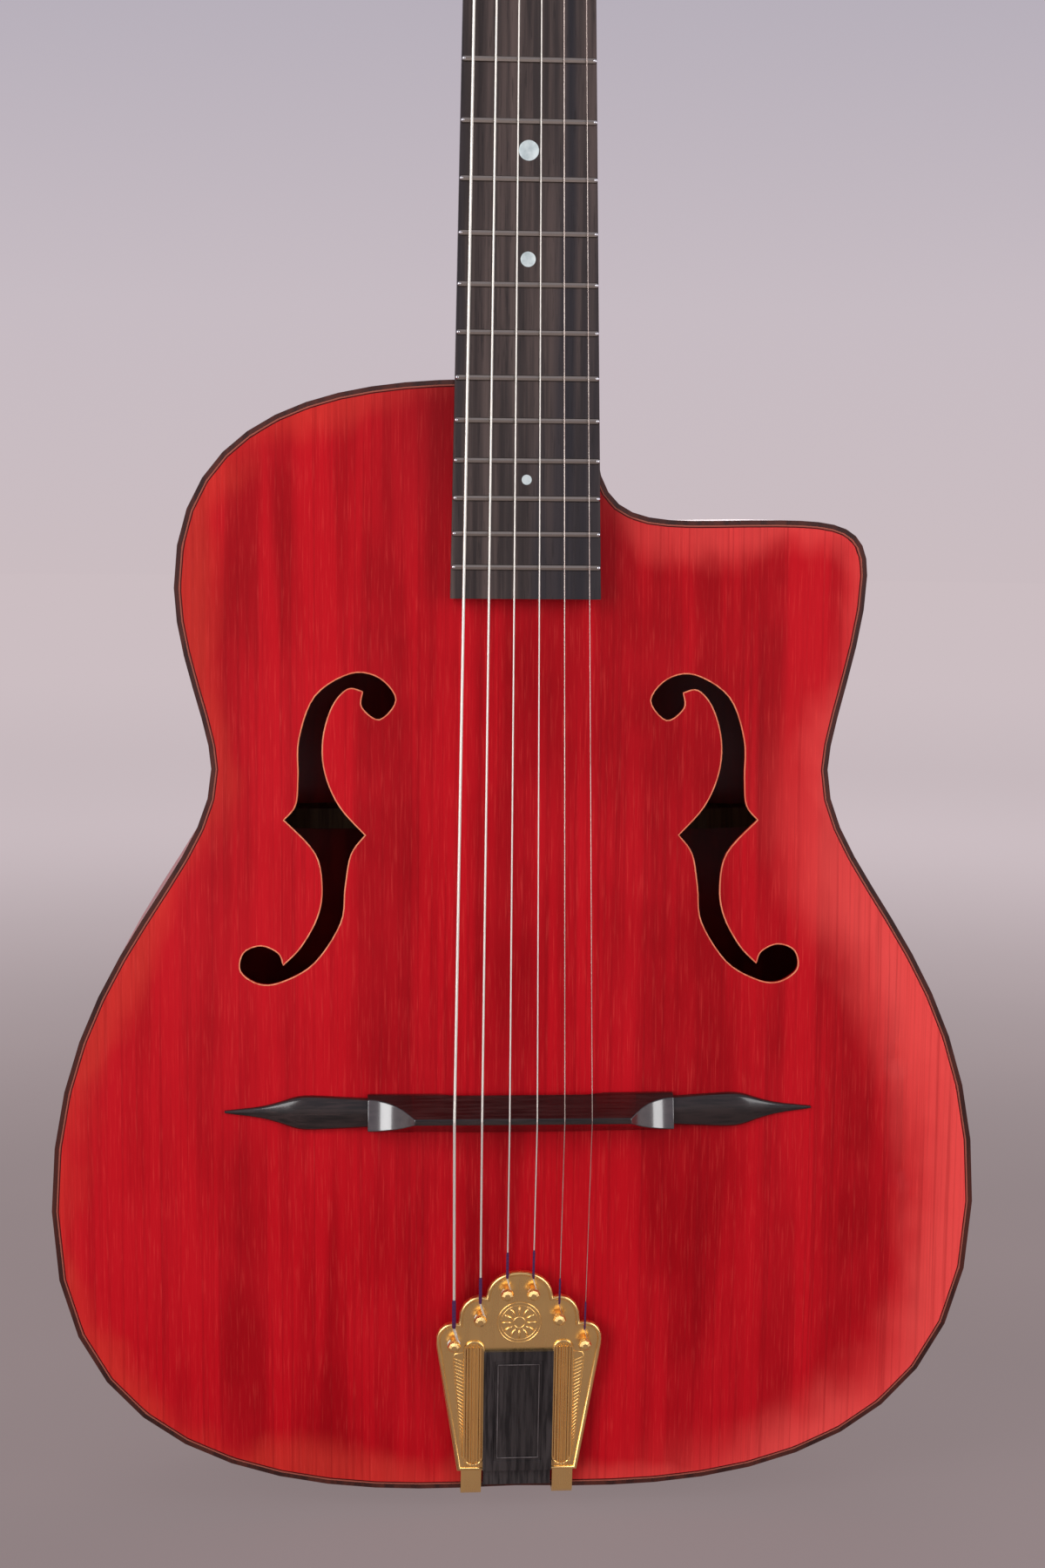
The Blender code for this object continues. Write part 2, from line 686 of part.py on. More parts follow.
def make_bindings():
    for name, low, high in (("top_binding", -BINDING_DROP, 0.0),
                            ("back_binding", -BODY_DEPTH, -BODY_DEPTH + BINDING_DROP)):
        smooth(ribbon_object(name, BODY_OUTLINE, low, high, BINDING_WIDTH, BODY, DARK_ROSEWOOD, True))


def make_linings():
    """Four strips along the ribs' edges, which carry the plates."""
    path_treble = [p for p in TREBLE_SIDE if TAIL_BLOCK_LENGTH + 6 * MM < p[1] < CUTAWAY_END_Y - 34 * MM]
    path_bass = [p for p in BASS_SIDE if TAIL_BLOCK_LENGTH + 6 * MM < p[1] < BODY_LENGTH - 5 * MM]
    levels = (("top", -TOP_THICKNESS - SEAT_GAP, -1), ("back", -BODY_DEPTH + BACK_THICKNESS + SEAT_GAP, 1))
    for plate, seat, inwards in levels:
        for side, path in (("treble", path_treble), ("bass", path_bass[::-1])):
            outer = inset_path(path, LINING_INSET, False)
            inner = inset_path(path, LINING_INNER, False)
            lip = seat + inwards * LINING_DEPTH
            slim = seat + inwards * LINING_DEPTH * 0.3
            rings = [[(x0, y0, seat), (x1, y1, seat), (x1, y1, slim), (x0, y0, lip)]
                     for (x0, y0), (x1, y1) in zip(outer, inner)]
            loft_object("lining_" + plate + "_" + side, rings, BODY, BARE_SPRUCE)


# Blocks and braces
def tenon_outline(gap):
    """The dovetail in plan, wider by gap on every side, at the body's end."""
    half = TENON_WIDTH / 2
    root = BODY_LENGTH + SEAT_GAP + MM
    foot = BODY_LENGTH - TENON_LENGTH
    return [(half + gap, root), (half + TENON_FLARE + gap, foot - gap),
            (-half - TENON_FLARE - gap, foot - gap), (-half - gap, root)]


def make_blocks():
    low = -BODY_DEPTH + BACK_THICKNESS + SEAT_GAP
    high = -TOP_THICKNESS - SEAT_GAP
    face = BODY_LENGTH - RIB_THICKNESS - SEAT_GAP
    inner_x = heel_half_width() - RIB_THICKNESS - SEAT_GAP
    notch_x = inner_x - 16 * MM
    notch_y = CUTAWAY_END_Y - 32 * MM
    outline = [(-BLOCK_WIDTH_BASS, face - BLOCK_LENGTH), (notch_x, face - BLOCK_LENGTH), (notch_x, notch_y),
               (inner_x, notch_y), (inner_x, face), (-12 * MM, face), (-24 * MM, face - MM),
               (-BLOCK_WIDTH_BASS, face - 2.6 * MM)]
    block = flat_object("neck_block", [outline], low, high, BODY, MAHOGANY)
    slot = flat_object("tenon_slot", [tenon_outline(SEAT_GAP)], -TENON_DEPTH - SEAT_GAP, high + MM, BODY,
                       None, CUTTERS)
    cut(block, slot)
    tail = link_object("tail_block", box_mesh("tail_block", (-TAIL_BLOCK_WIDTH / 2, RIB_THICKNESS + 1.2 * MM, low),
                                              (TAIL_BLOCK_WIDTH / 2, TAIL_BLOCK_LENGTH, high)), BODY, MAHOGANY)
    cut(tail, tail_hole_cutter())


def clear_half_width(y):
    """Half the room between the linings at height y."""
    side = [Vector(p) for p in full_side()]
    x = side_half_width(y)
    least = LINING_INNER + 1.5 * MM
    while x > 0:
        point = Vector((x, y))
        nearest = min((point - closest_on(a, b, point)).length for a, b in zip(side, side[1:]))
        if nearest >= least:
            return x
        x -= MM
    return 0.0


def closest_on(a, b, point):
    along = b - a
    share = min(max((point - a).dot(along) / along.length_squared, 0), 1)
    return a + along * share


def brace_outline(y, width, height, height_at, thickness):
    """A brace's side view: its long edge follows the plate, and its ends are cut down."""
    half = min(clear_half_width(y + side * width / 2) for side in (-1, 1))
    stations = [-half + 2 * half * i / 10 for i in range(11)]
    back = [(x, min(height_at(x, y - width / 2), height_at(x, y + width / 2)) - thickness - 3 * SEAT_GAP)
            for x in stations]
    ends = [(half, back[-1][1] - BRACE_END_HEIGHT), (half - BRACE_END_RUN, back[-1][1] - height),
            (-half + BRACE_END_RUN, back[0][1] - height), (-half, back[0][1] - BRACE_END_HEIGHT)]
    return back + ends


def prism_verts(bm, outline, low, high):
    """A closed prism of an outline in X and Z, from low to high in Y."""
    near = [bm.verts.new((x, low, z)) for x, z in outline]
    far = [bm.verts.new((x, high, z)) for x, z in outline]
    for i in range(len(outline)):
        j = (i + 1) % len(outline)
        bm.faces.new((near[i], near[j], far[j], far[i]))
    bm.faces.new(near[::-1])
    bm.faces.new(far)


def make_braces():
    """Ladder bracing under the top and across the back."""
    for number, y in enumerate(TOP_BRACE_YS, 1):
        outline = brace_outline(y, TOP_BRACE_WIDTH, TOP_BRACE_HEIGHT, top_arch, TOP_THICKNESS)
        make_brace("soundboard_brace_" + str(number), outline, y, TOP_BRACE_WIDTH)
    for number, y in enumerate(BACK_BRACE_YS, 1):
        outline = brace_outline(y, BACK_BRACE_WIDTH, BACK_BRACE_HEIGHT, back_arch, BACK_THICKNESS)
        flipped = [(x, -z - BODY_DEPTH) for x, z in outline]
        make_brace("back_brace_" + str(number), flipped, y, BACK_BRACE_WIDTH)


def make_brace(name, outline, y, width):
    bm = bmesh.new()
    prism_verts(bm, outline, y - width / 2, y + width / 2)
    link_object(name, mesh_of(name, bm), BODY, BARE_SPRUCE)


# Neck
HEEL_DEPTH = 130 * MM
SECTION_DROPS = (0.3, 0.62, 0.88)


def neck_section(distance, depth, foot):
    """The section under the fingerboard: round in the hand, narrow and deep where foot nears 1."""
    half = fingerboard_half_width(distance) - 0.3 * MM
    narrowing = 1 - HEEL_FOOT_WIDTH / 2 / half
    side = []
    for drop in SECTION_DROPS:
        hand = math.sqrt(1 - drop * drop)
        heel = 1 - narrowing * min(1, depth * drop / BODY_DEPTH)
        side.append((half * ((1 - foot) * hand + foot * heel), NECK_TOP - depth * drop))
    ring = [(half, NECK_TOP)] + side + [(0, NECK_TOP - depth)] + [(-x, z) for x, z in side[::-1]] + [(-half, NECK_TOP)]
    return [(x, distance, z) for x, z in ring]


def heel_depth(distance):
    """Depth of the wood under the fingerboard, sweeping into the heel near the body."""
    share = (distance - JOINT_DISTANCE) / (SCALE_LENGTH - JOINT_DISTANCE)
    shaft = NECK_DEPTH_HEEL + (NECK_DEPTH_NUT - NECK_DEPTH_HEEL) * share
    sweep = (distance - JOINT_DISTANCE - HEEL_FOOT) / HEEL_SWEEP
    if sweep >= 1:
        return shaft
    if sweep <= 0:
        return HEEL_DEPTH
    return shaft + (BODY_DEPTH - shaft) * (1 - sweep) ** 2.6


def make_neck():
    body_face = JOINT_DISTANCE - 12 * MM
    stations = [body_face, JOINT_DISTANCE + HEEL_FOOT - 0.5 * MM]
    stations += [JOINT_DISTANCE + HEEL_FOOT + HEEL_SWEEP * share for share in (0.02, 0.08, 0.18, 0.32, 0.5, 0.72, 1)]
    stations += [JOINT_DISTANCE + (SCALE_LENGTH - JOINT_DISTANCE) * share for share in (0.431, 0.7)]
    stations += [SCALE_LENGTH - 12 * MM, HEAD_START - 0.7 * MM]
    rings = []
    for distance in stations:
        depth = heel_depth(distance)
        foot = max(0, min(1, (depth - NECK_DEPTH_HEEL) / (BODY_DEPTH - NECK_DEPTH_HEEL)))
        rings.append(neck_section(distance, depth, foot))
    neck = loft_object("neck", rings, NECK, MAHOGANY)
    # The heel is cut square to the body and to its cap
    low = -BODY_DEPTH + HEEL_CAP_THICKNESS + SEAT_GAP
    cut(neck, cutter_box("heel_floor", (-60 * MM, BODY_LENGTH - 80 * MM, low - 90 * MM),
                         (60 * MM, BODY_LENGTH + 120 * MM, low), BODY))
    cut(neck, cutter_box("heel_face", (-60 * MM, BODY_LENGTH - 90 * MM, low - 100 * MM),
                         (60 * MM, BODY_LENGTH + SEAT_GAP, 60 * MM), BODY))
    tenon = flat_object("tenon", [tenon_outline(0)], -TENON_DEPTH, TENON_TOP, BODY, None, CUTTERS)
    boolean(neck, tenon, "UNION")
    boolean(neck, neck_tongue(), "UNION")
    boolean(neck, head_blank(), "UNION")
    cut(neck, head_slots("neck_slots", 0))
    bar = cutter_box("bar_channel", (-NECK_BAR_WIDTH / 2 - SEAT_GAP, NECK_BAR_START - SEAT_GAP,
                                     NECK_TOP - NECK_BAR_DEPTH - SEAT_GAP),
                     (NECK_BAR_WIDTH / 2 + SEAT_GAP, NECK_BAR_END + SEAT_GAP, NECK_TOP + MM), NECK)
    cut(neck, bar)
    for side in (1, -1):
        places = [(side * (SLOT_CENTRE_X + POST_BORE_DEPTH), y, -POST_DEPTH) for y in POST_YS]
        length = HEAD_WIDTH - 4 * MM
        cut(neck, cutter_rods("post_bores" + str(side), [(side * (5.5 * MM + length / 2), y, z)
                                                         for _, y, z in places],
                              POST_RADIUS + TURNING_GAP, length, (1, 0, 0), HEAD, 12))
    smooth(neck, 40)
    link_object("neck_bar", box_mesh("neck_bar", (-NECK_BAR_WIDTH / 2, NECK_BAR_START, NECK_TOP - NECK_BAR_DEPTH),
                                     (NECK_BAR_WIDTH / 2, NECK_BAR_END, NECK_TOP)), NECK, DURALUMIN)
    make_heel_cap()


def neck_tongue():
    """The wedge over the soundboard that carries the fingerboard's end."""
    rings = []
    half = 21 * MM
    end = BRIDGE_Y + (FINGERBOARD_END + 4 * MM) * math.cos(NECK_ANGLE)
    for y in (BODY_LENGTH + 6 * MM, BODY_LENGTH - 33.3 * MM, BODY_LENGTH - 63.3 * MM, end):
        under_neck = (STRING_HEIGHT - ACTION_DROP) + NECK_TOP - (y - BRIDGE_Y) * math.sin(NECK_ANGLE)
        floor = max(top_arch(0, min(y, BODY_LENGTH)), 0) + 2 * SEAT_GAP
        roof = max(under_neck - 0.2 * MM, floor + SEAT_GAP / 2)
        rings.append([(-half, y, floor), (half, y, floor), (half, y, roof), (-half, y, roof)])
    return loft_object("tongue", rings, BODY, None, CUTTERS)


def make_heel_cap():
    bottom = -BODY_DEPTH
    start = BODY_LENGTH + SEAT_GAP
    run = HEEL_FOOT - 4 * MM
    half = HEEL_FOOT_WIDTH / 2
    outline = [(half, start), (half, start + run * 0.45)]
    outline += [(half * math.cos(a), start + run * 0.45 + run * 0.55 * math.sin(a))
                for a in [math.pi * i / 10 for i in range(1, 10)]]
    outline += [(-half, start + run * 0.45), (-half, start)]
    cap = flat_object("heel_cap", [outline], bottom, bottom + HEEL_CAP_THICKNESS, BODY, EBONY)
    smooth(cap)


# Head
def head_outline():
    half = HEAD_WIDTH / 2
    top = HEAD_TOP_WIDTH / 2
    start = NUT_WIDTH / 2 + 0.6 * MM
    right = [(start, 0), (start + 0.5 * MM, 3 * MM)]
    right += bezier(right[-1], (start + 2 * MM, 9 * MM), (half, 8 * MM), (half, 16 * MM), 4)
    side_end = SLOT_START + SLOT_LENGTH + 2 * MM
    right += [(half, side_end)]
    right += bezier(right[-1], (half, side_end + 9 * MM), (top, HEAD_LENGTH - 26 * MM), (top, HEAD_LENGTH - 12 * MM), 3)
    right += bezier(right[-1], (top * 0.72, HEAD_LENGTH - 12 * MM), (top * 0.4, HEAD_LENGTH - 6 * MM), (0, HEAD_LENGTH), 5)
    return right + mirrored(right[:-1])[::-1]


def head_blank():
    low = -HEAD_PLATE_THICKNESS - SEAT_GAP - HEAD_THICKNESS
    high = -HEAD_PLATE_THICKNESS - SEAT_GAP
    return flat_object("head_blank", [head_outline()], low, high, HEAD, None, CUTTERS)


def head_slots(name, grow):
    loops = []
    radius = SLOT_WIDTH / 2 + grow
    for side in (-1, 1):
        centre = side * SLOT_CENTRE_X
        low, high = SLOT_START + SLOT_WIDTH / 2, SLOT_START + SLOT_LENGTH - SLOT_WIDTH / 2
        loops.append(arc((centre, low), radius, 180, 360, 5) + arc((centre, high), radius, 0, 180, 5))
    return flat_object(name, loops, -30 * MM, 10 * MM, HEAD, None, CUTTERS)


def make_head_plate():
    plate = flat_object("head_plate", [head_outline()], -HEAD_PLATE_THICKNESS, 0, HEAD, EBONY)
    cut(plate, head_slots("plate_slots", 0))
    smooth(plate)


# Fingerboard
def fret_distance(number):
    return SCALE_LENGTH * 2 ** (-number / 12)


def make_fingerboard():
    near = fingerboard_half_width(FINGERBOARD_END)
    far = fingerboard_half_width(FINGERBOARD_HEAD_END)
    outline = [(near, FINGERBOARD_END), (far, FINGERBOARD_HEAD_END), (-far, FINGERBOARD_HEAD_END), (-near, FINGERBOARD_END)]
    board = flat_object("fingerboard", [outline], FINGERBOARD_UNDER, FINGERBOARD_TOP, NECK, EBONY)
    frets = bmesh.new()
    for number in range(LAST_FRET + 1):
        distance = fret_distance(number)
        half = fingerboard_half_width(distance) - FRET_END_INSET
        section = [(-FRET_WIDTH / 2, FINGERBOARD_TOP - FRET_SEAT), (FRET_WIDTH / 2, FINGERBOARD_TOP - FRET_SEAT)]
        section += [(FRET_WIDTH / 2 * math.cos(a), FINGERBOARD_TOP + FRET_HEIGHT * math.sin(a))
                    for a in [math.pi * i / 4 for i in range(5)]]
        near = [frets.verts.new((-half, distance + y, z)) for y, z in section]
        far = [frets.verts.new((half, distance + y, z)) for y, z in section]
        count = len(section)
        for i in range(count):
            j = (i + 1) % count
            frets.faces.new((near[i], near[j], far[j], far[i]))
        frets.faces.new(near[::-1])
        frets.faces.new(far)
    boolean(board, link_object("frets", mesh_of("frets", frets), NECK, None, CUTTERS), "UNION")


# Strings
def string_share(number):
    """Place of a string across the neck, from -1 at the lowest to 1 at the highest."""
    return -1 + 2 * (number - 1) / 5


def string_x(number, distance):
    at_bridge = string_share(number) * BRIDGE_STRING_SPAN / 2
    at_nut = string_share(number) * NUT_STRING_SPAN / 2
    return at_bridge + (at_nut - at_bridge) * distance / SCALE_LENGTH


def make_nut():
    low = NECK_TOP + SEAT_GAP
    high = max(STRING_DIAMETERS) + NUT_OVER_STRING
    half = NUT_WIDTH / 2
    nut = link_object("nut", box_mesh("nut", (-half, NUT_START, low), (half, NUT_END, high)), NECK, BONE)
    for number in range(1, 7):
        gap = STRING_DIAMETERS[number - 1] / 2 + STRING_CLEARANCE
        x = string_x(number, SCALE_LENGTH)
        slot = cutter_box("nut_slot" + str(number), (x - gap, NUT_START - MM, -0.5 * MM),
                          (x + gap, NUT_END + MM, high + MM), NECK)
        cut(nut, slot)


# String number, side and post of each tuner, from the nut to the top
def post_of(number):
    if number <= 3:
        return -1, POST_YS[number - 1]
    return 1, POST_YS[6 - number]


LANDING_X = {1: 20.6 * MM, 2: 18.4 * MM, 3: 19.4 * MM, 4: 19.4 * MM, 5: 18.4 * MM, 6: 20.6 * MM}


def string_points(number):
    """From the loop round its pin over the bridge, the zero fret and the nut to its post."""
    radius = STRING_DIAMETERS[number - 1] / 2
    side, post_y = post_of(number)
    pin_x, pin_y = PIN_PLACES[number - 1 if number <= 3 else 6 - number]
    pin_x = -pin_x if number <= 3 else pin_x
    reach = PIN_STEM_RADIUS + radius + STRING_CLEARANCE
    height = TAILPIECE_THICKNESS + PIN_STEM_HEIGHT * 0.5
    points = []
    for i in range(8):
        turn = math.radians(130 + 280 * i / 7)
        points.append(TAIL @ Vector((pin_x + reach * math.cos(turn), pin_y + reach * math.sin(turn), height)))
    points.append(TAIL @ Vector((pin_x, pin_y + 3.2 * reach, height + 0.3 * MM)))
    points.append(NECK @ Vector((string_x(number, 0), 0, ACTION_DROP)))
    zero = SCALE_LENGTH
    points.append(NECK @ Vector((string_x(number, zero), zero, radius + STRING_CLEARANCE)))
    points.append(NECK @ Vector((string_x(number, zero), NUT_END + 0.2 * MM, radius + STRING_CLEARANCE)))
    points += [HEAD @ Vector(p) for p in winding(number, radius, side, post_y)]
    return points


def winding(number, radius, side, post_y):
    """Turns round a post, stepping outwards from where the string lands on it."""
    turn_radius = POST_RADIUS + radius + STRING_CLEARANCE
    pitch = 2 * radius + WINDING_GAP
    count = round(WINDING_TURNS * WINDING_POINTS)
    start_x = LANDING_X[number]
    towards = -1 if start_x > SLOT_CENTRE_X else 1
    points = []
    for i in range(count + 1):
        turns = i / WINDING_POINTS
        angle = math.radians(100) - 2 * math.pi * turns
        x = start_x + towards * pitch * turns
        points.append((side * x, post_y + turn_radius * math.cos(angle), -POST_DEPTH + turn_radius * math.sin(angle)))
    return points


def least_winding_gap():
    """The least space between the turns of any string, in millimetres."""
    gaps = []
    for number in range(1, 7):
        radius = STRING_DIAMETERS[number - 1] / 2
        side, post_y = post_of(number)
        points = [Vector(p) for p in winding(number, radius, side, post_y)]
        for i, a in enumerate(points):
            for b in points[i + WINDING_POINTS - 1:]:
                gaps.append((a - b).length - 2 * radius)
    return min(gaps) / MM


def make_strings():
    for number in range(1, 7):
        tube_object("string_" + str(7 - number), string_points(number), STRING_DIAMETERS[number - 1] / 2, STEEL)
    print("least gap between string turns, mm:", round(least_winding_gap(), 3))


# Tuners
def make_side_plates():
    for side, name in ((-1, "tuner_plate_bass"), (1, "tuner_plate_treble")):
        near = FIRST_POST_Y - SIDE_PLATE_MARGIN
        far = POST_YS[-1] + SIDE_PLATE_MARGIN
        inner, outer = sorted((side * SIDE_PLATE_INNER_X, side * SIDE_PLATE_OUTER_X))
        half = SIDE_PLATE_WIDTH / 2
        plate = link_object(name, box_mesh(name, (inner, near, -POST_DEPTH - half), (outer, far, -POST_DEPTH + half)),
                            HEAD, BRASS)
        lugs = bmesh.new()
        root = side * (SIDE_PLATE_OUTER_X - 0.5 * MM)
        tip = side * (WHEEL_MIDDLE_X + WORM_SHAFT_RADIUS + 2 * MM)
        for post_y in POST_YS:
            y = post_y - WORM_OFFSET_Y
            for z in (-POST_DEPTH + WORM_LENGTH / 2 + WORM_LUG_THICKNESS / 2 + SEAT_GAP,
                      -POST_DEPTH - WORM_LENGTH / 2 - WORM_LUG_THICKNESS / 2 - SEAT_GAP):
                bmesh.ops.create_cube(lugs, size=1, matrix=Matrix.Translation(((root + tip) / 2, y, z))
                                      @ Matrix.Diagonal((abs(tip - root), 6 * MM, WORM_LUG_THICKNESS, 1)))
        boolean(plate, link_object(name + "_lugs", mesh_of(name + "_lugs", lugs), HEAD, None, CUTTERS), "UNION")
        cut(plate, cutter_rods(name + "_posts", [(side * SIDE_PLATE_OUTER_X, y, -POST_DEPTH) for y in POST_YS],
                               POST_RADIUS + TURNING_GAP, 6 * MM, (1, 0, 0), HEAD, 12))
        cut(plate, cutter_rods(name + "_worms", [(side * WHEEL_MIDDLE_X, y - WORM_OFFSET_Y, -POST_DEPTH) for y in POST_YS],
                               WORM_SHAFT_RADIUS + TURNING_GAP, 24 * MM, (0, 0, 1), HEAD, 10))


def wheel_outline():
    """A worm wheel's teeth, each a flat tip between two straight flanks."""
    points = []
    root = WORM_WHEEL_RADIUS - WORM_TOOTH_DEPTH
    step = 2 * math.pi / WORM_WHEEL_TEETH
    for tooth in range(WORM_WHEEL_TEETH):
        for share, radius in ((0.0, root), (0.38, WORM_WHEEL_RADIUS), (0.72, WORM_WHEEL_RADIUS)):
            angle = (tooth + share) * step
            points.append((radius * math.cos(angle), radius * math.sin(angle)))
    return points


def make_tuner(number):
    """String number counts from the lowest; the row's names count from the highest."""
    label = str(7 - number)
    side, post_y = post_of(number)
    turn = Matrix.Rotation(side * math.pi / 2, 4, "Y")
    inner_end = SLOT_CENTRE_X - SLOT_WIDTH / 2 - POST_BORE_DEPTH + 0.6 * MM
    axis_place = HEAD @ Matrix.Translation((0, post_y, -POST_DEPTH)) @ turn
    outer_end = WHEEL_INNER_X + WORM_WHEEL_WIDTH + MM
    profile = [(0, outer_end), (POST_RADIUS, outer_end), (POST_RADIUS, inner_end), (0, inner_end)]
    post = turned_object("string_post_" + label, profile, axis_place, STEEL)
    wheel = flat_object("worm_wheel_" + label, [wheel_outline()], WHEEL_INNER_X, WHEEL_INNER_X + WORM_WHEEL_WIDTH,
                        axis_place, None, CUTTERS)
    boolean(post, wheel, "UNION")
    worm_place = HEAD @ Matrix.Translation((side * WHEEL_MIDDLE_X, post_y - WORM_OFFSET_Y, -POST_DEPTH))
    half = WORM_LENGTH / 2
    shaft_top = half + WORM_LUG_THICKNESS + 1.2 * MM
    shaft_foot = -BUTTON_REACH + 4 * MM + POST_DEPTH
    worm = [(0, shaft_top), (WORM_SHAFT_RADIUS, shaft_top), (WORM_SHAFT_RADIUS, half), (WORM_RADIUS, half - 0.8 * MM),
            (WORM_RADIUS * 0.86, 0), (WORM_RADIUS, -half + 0.8 * MM), (WORM_SHAFT_RADIUS, -half),
            (WORM_SHAFT_RADIUS, shaft_foot), (0, shaft_foot)]
    turned_object("worm_shaft_" + label, worm, worm_place, BRASS, 10)
    bm = bmesh.new()
    bmesh.ops.create_uvsphere(bm, u_segments=10, v_segments=7, radius=0.5)
    bmesh.ops.scale(bm, vec=(BUTTON_THICKNESS, BUTTON_WIDTH, BUTTON_LENGTH), verts=bm.verts)
    button_z = shaft_foot - SEAT_GAP - BUTTON_LENGTH / 2
    bmesh.ops.translate(bm, vec=(0, 0, button_z), verts=bm.verts)
    smooth(link_object("tuner_button_" + label, mesh_of("tuner_button_" + label, bm), worm_place, BUTTON_PEARL), 60)


# Bridge
def bridge_height(x):
    """Height of the crest over the rim plane."""
    crest = STRING_HEIGHT - max(STRING_DIAMETERS) / 2 - STRING_CLEARANCE
    reach = BRIDGE_LENGTH / 2 - abs(x)
    if reach >= BRIDGE_SCOOP:
        return crest
    low = top_arch(BRIDGE_LENGTH / 2, BRIDGE_Y) + BRIDGE_END_HEIGHT
    return low + (crest - low) * (reach / BRIDGE_SCOOP) ** 2


def make_bridge():
    rings = []
    half = BRIDGE_LENGTH / 2
    foot = BRIDGE_ARCH_HALF
    stations = (half, half - BRIDGE_SCOOP / 3, half - 2 * BRIDGE_SCOOP / 3, half - BRIDGE_SCOOP, foot + 3 * MM, foot - 6 * MM)
    stations = [-x for x in stations] + [0] + [x for x in stations[::-1]]
    for x in stations:
        relief = BRIDGE_ARCH_HEIGHT if abs(x) < foot else 0
        floor = top_arch(x, BRIDGE_Y) + SEAT_GAP + relief
        crest = bridge_height(x)
        wide = BRIDGE_WIDTH / 2
        slim = BRIDGE_CREST_WIDTH / 2
        shoulder = floor + (3 * MM if relief == 0 else 1 * MM)
        ring = [(wide, floor), (wide, shoulder), (slim, crest), (-slim, crest), (-wide, shoulder), (-wide, floor)]
        rings.append([(x, BRIDGE_Y + y, z) for y, z in ring])
    loft_object("bridge", rings, BODY, EBONY)
    for side, name in ((-1, "moustache_bass"), (1, "moustache_treble")):
        make_moustache(name, side)


MOUSTACHE_SHAPE = ((0, 0.83, 1.0), (0.2, 0.93, 1.0), (0.42, 1.0, 0.95), (0.58, 0.78, 0.8), (0.74, 0.42, 0.6),
                   (0.88, 0.2, 0.42), (1.0, 0.06, 0.25))


def make_moustache(name, side):
    """A leaf with a long tip, highest along its middle."""
    rings = []
    for share, width, height in MOUSTACHE_SHAPE:
        x = side * (BRIDGE_LENGTH / 2 + SEAT_GAP + share * MOUSTACHE_LENGTH)
        half = MOUSTACHE_WIDTH / 2 * width
        floor = top_arch(x, BRIDGE_Y) + SEAT_GAP
        tall = MOUSTACHE_THICKNESS * height
        ring = [(half, floor), (half, floor + 0.45 * tall), (half * 0.35, floor + tall),
                (-half * 0.35, floor + tall), (-half, floor + 0.45 * tall), (-half, floor)]
        rings.append([(x, BRIDGE_Y + y, z) for y, z in ring])
    smooth(loft_object(name, rings, BODY, EBONY), 30)


# Tailpiece
def tailpiece_outline():
    """Stepped round lobes at the top and straight sides that taper to the foot."""
    right = [(TAILPIECE_FOOT_HALF, TAILPIECE_FOOT), (TAILPIECE_SHOULDER_HALF, TAILPIECE_SHOULDER_Y)]
    right += bezier(right[-1], (35.6 * MM, 75 * MM), (30 * MM, 78 * MM), (25.2 * MM, 76.8 * MM), 5)
    right += bezier(right[-1], (26 * MM, 86 * MM), (19 * MM, 90.5 * MM), (13.9 * MM, 88.4 * MM), 5)
    right += bezier(right[-1], (13.5 * MM, 96 * MM), (7 * MM, TAILPIECE_LENGTH), (0, TAILPIECE_LENGTH), 6)
    return right + mirrored(right[:-1])[::-1]


def make_tailpiece():
    plate = flat_object("tailpiece", [tailpiece_outline()], 0, TAILPIECE_THICKNESS, TAIL, BRASS)
    outer = LEG_FACE + TAILPIECE_THICKNESS
    lift = TAILPIECE_LIFT
    for side, label in ((-1, "bass"), (1, "treble")):
        x0 = side * LEG_INNER_X
        x1 = side * (LEG_INNER_X + LEG_WIDTH)
        top = TAIL @ Vector((0, TAILPIECE_FOOT + 3 * MM, 0.05 * MM))
        top = BODY.inverted() @ top
        bend = [(top.y, top.z), (LEG_BEND_RADIUS, lift)]
        bend += [(-LEG_FACE + LEG_BEND_RADIUS * (1 - math.sin(a)), lift - LEG_BEND_RADIUS * (1 - math.cos(a)))
                 for a in [math.pi / 2 * i / 3 for i in range(1, 4)]]
        bend += [(-LEG_FACE, -LEG_DROP)]
        outside = [(top.y, top.z + TAILPIECE_THICKNESS - 0.1 * MM), (LEG_BEND_RADIUS, lift + TAILPIECE_THICKNESS)]
        wide = LEG_BEND_RADIUS + TAILPIECE_THICKNESS
        outside += [(-LEG_FACE + LEG_BEND_RADIUS - wide * math.sin(a), lift - LEG_BEND_RADIUS + wide * math.cos(a))
                    for a in [math.pi / 2 * i / 3 for i in range(1, 4)]]
        outside += [(-outer, -LEG_DROP)]
        loop = bend + outside[::-1]
        leg = loft_object("leg_" + label, [[(x0, y, z) for y, z in loop], [(x1, y, z) for y, z in loop]], BODY, None, CUTTERS)
        boolean(plate, leg, "UNION")
    boolean(plate, make_flutes(), "UNION")
    boolean(plate, make_string_pins(), "UNION")
    smooth(plate, 30)
    make_tail_inlay()


def make_flutes():
    """Two panels of raised flutes beside the inlay."""
    bm = bmesh.new()
    pitch = FLUTE_PANEL_WIDTH / FLUTE_COUNT
    low = TAILPIECE_FOOT + 2 * MM
    high = TAILPIECE_SHOULDER_Y - 1 * MM
    for side in (-1, 1):
        for i in range(FLUTE_COUNT):
            centre = side * (TAIL_INLAY_WIDTH / 2 + 0.5 * MM + pitch * (i + 0.5))
            half = pitch * 0.42
            top = TAILPIECE_THICKNESS + FLUTE_HEIGHT
            base = TAILPIECE_THICKNESS - 0.4 * MM
            ring = [(centre - half, base), (centre + half, base), (centre + half * 0.4, top), (centre - half * 0.4, top)]
            prism_verts(bm, ring, low, high)
    return link_object("flutes", mesh_of("flutes", bm), TAIL, None, CUTTERS)


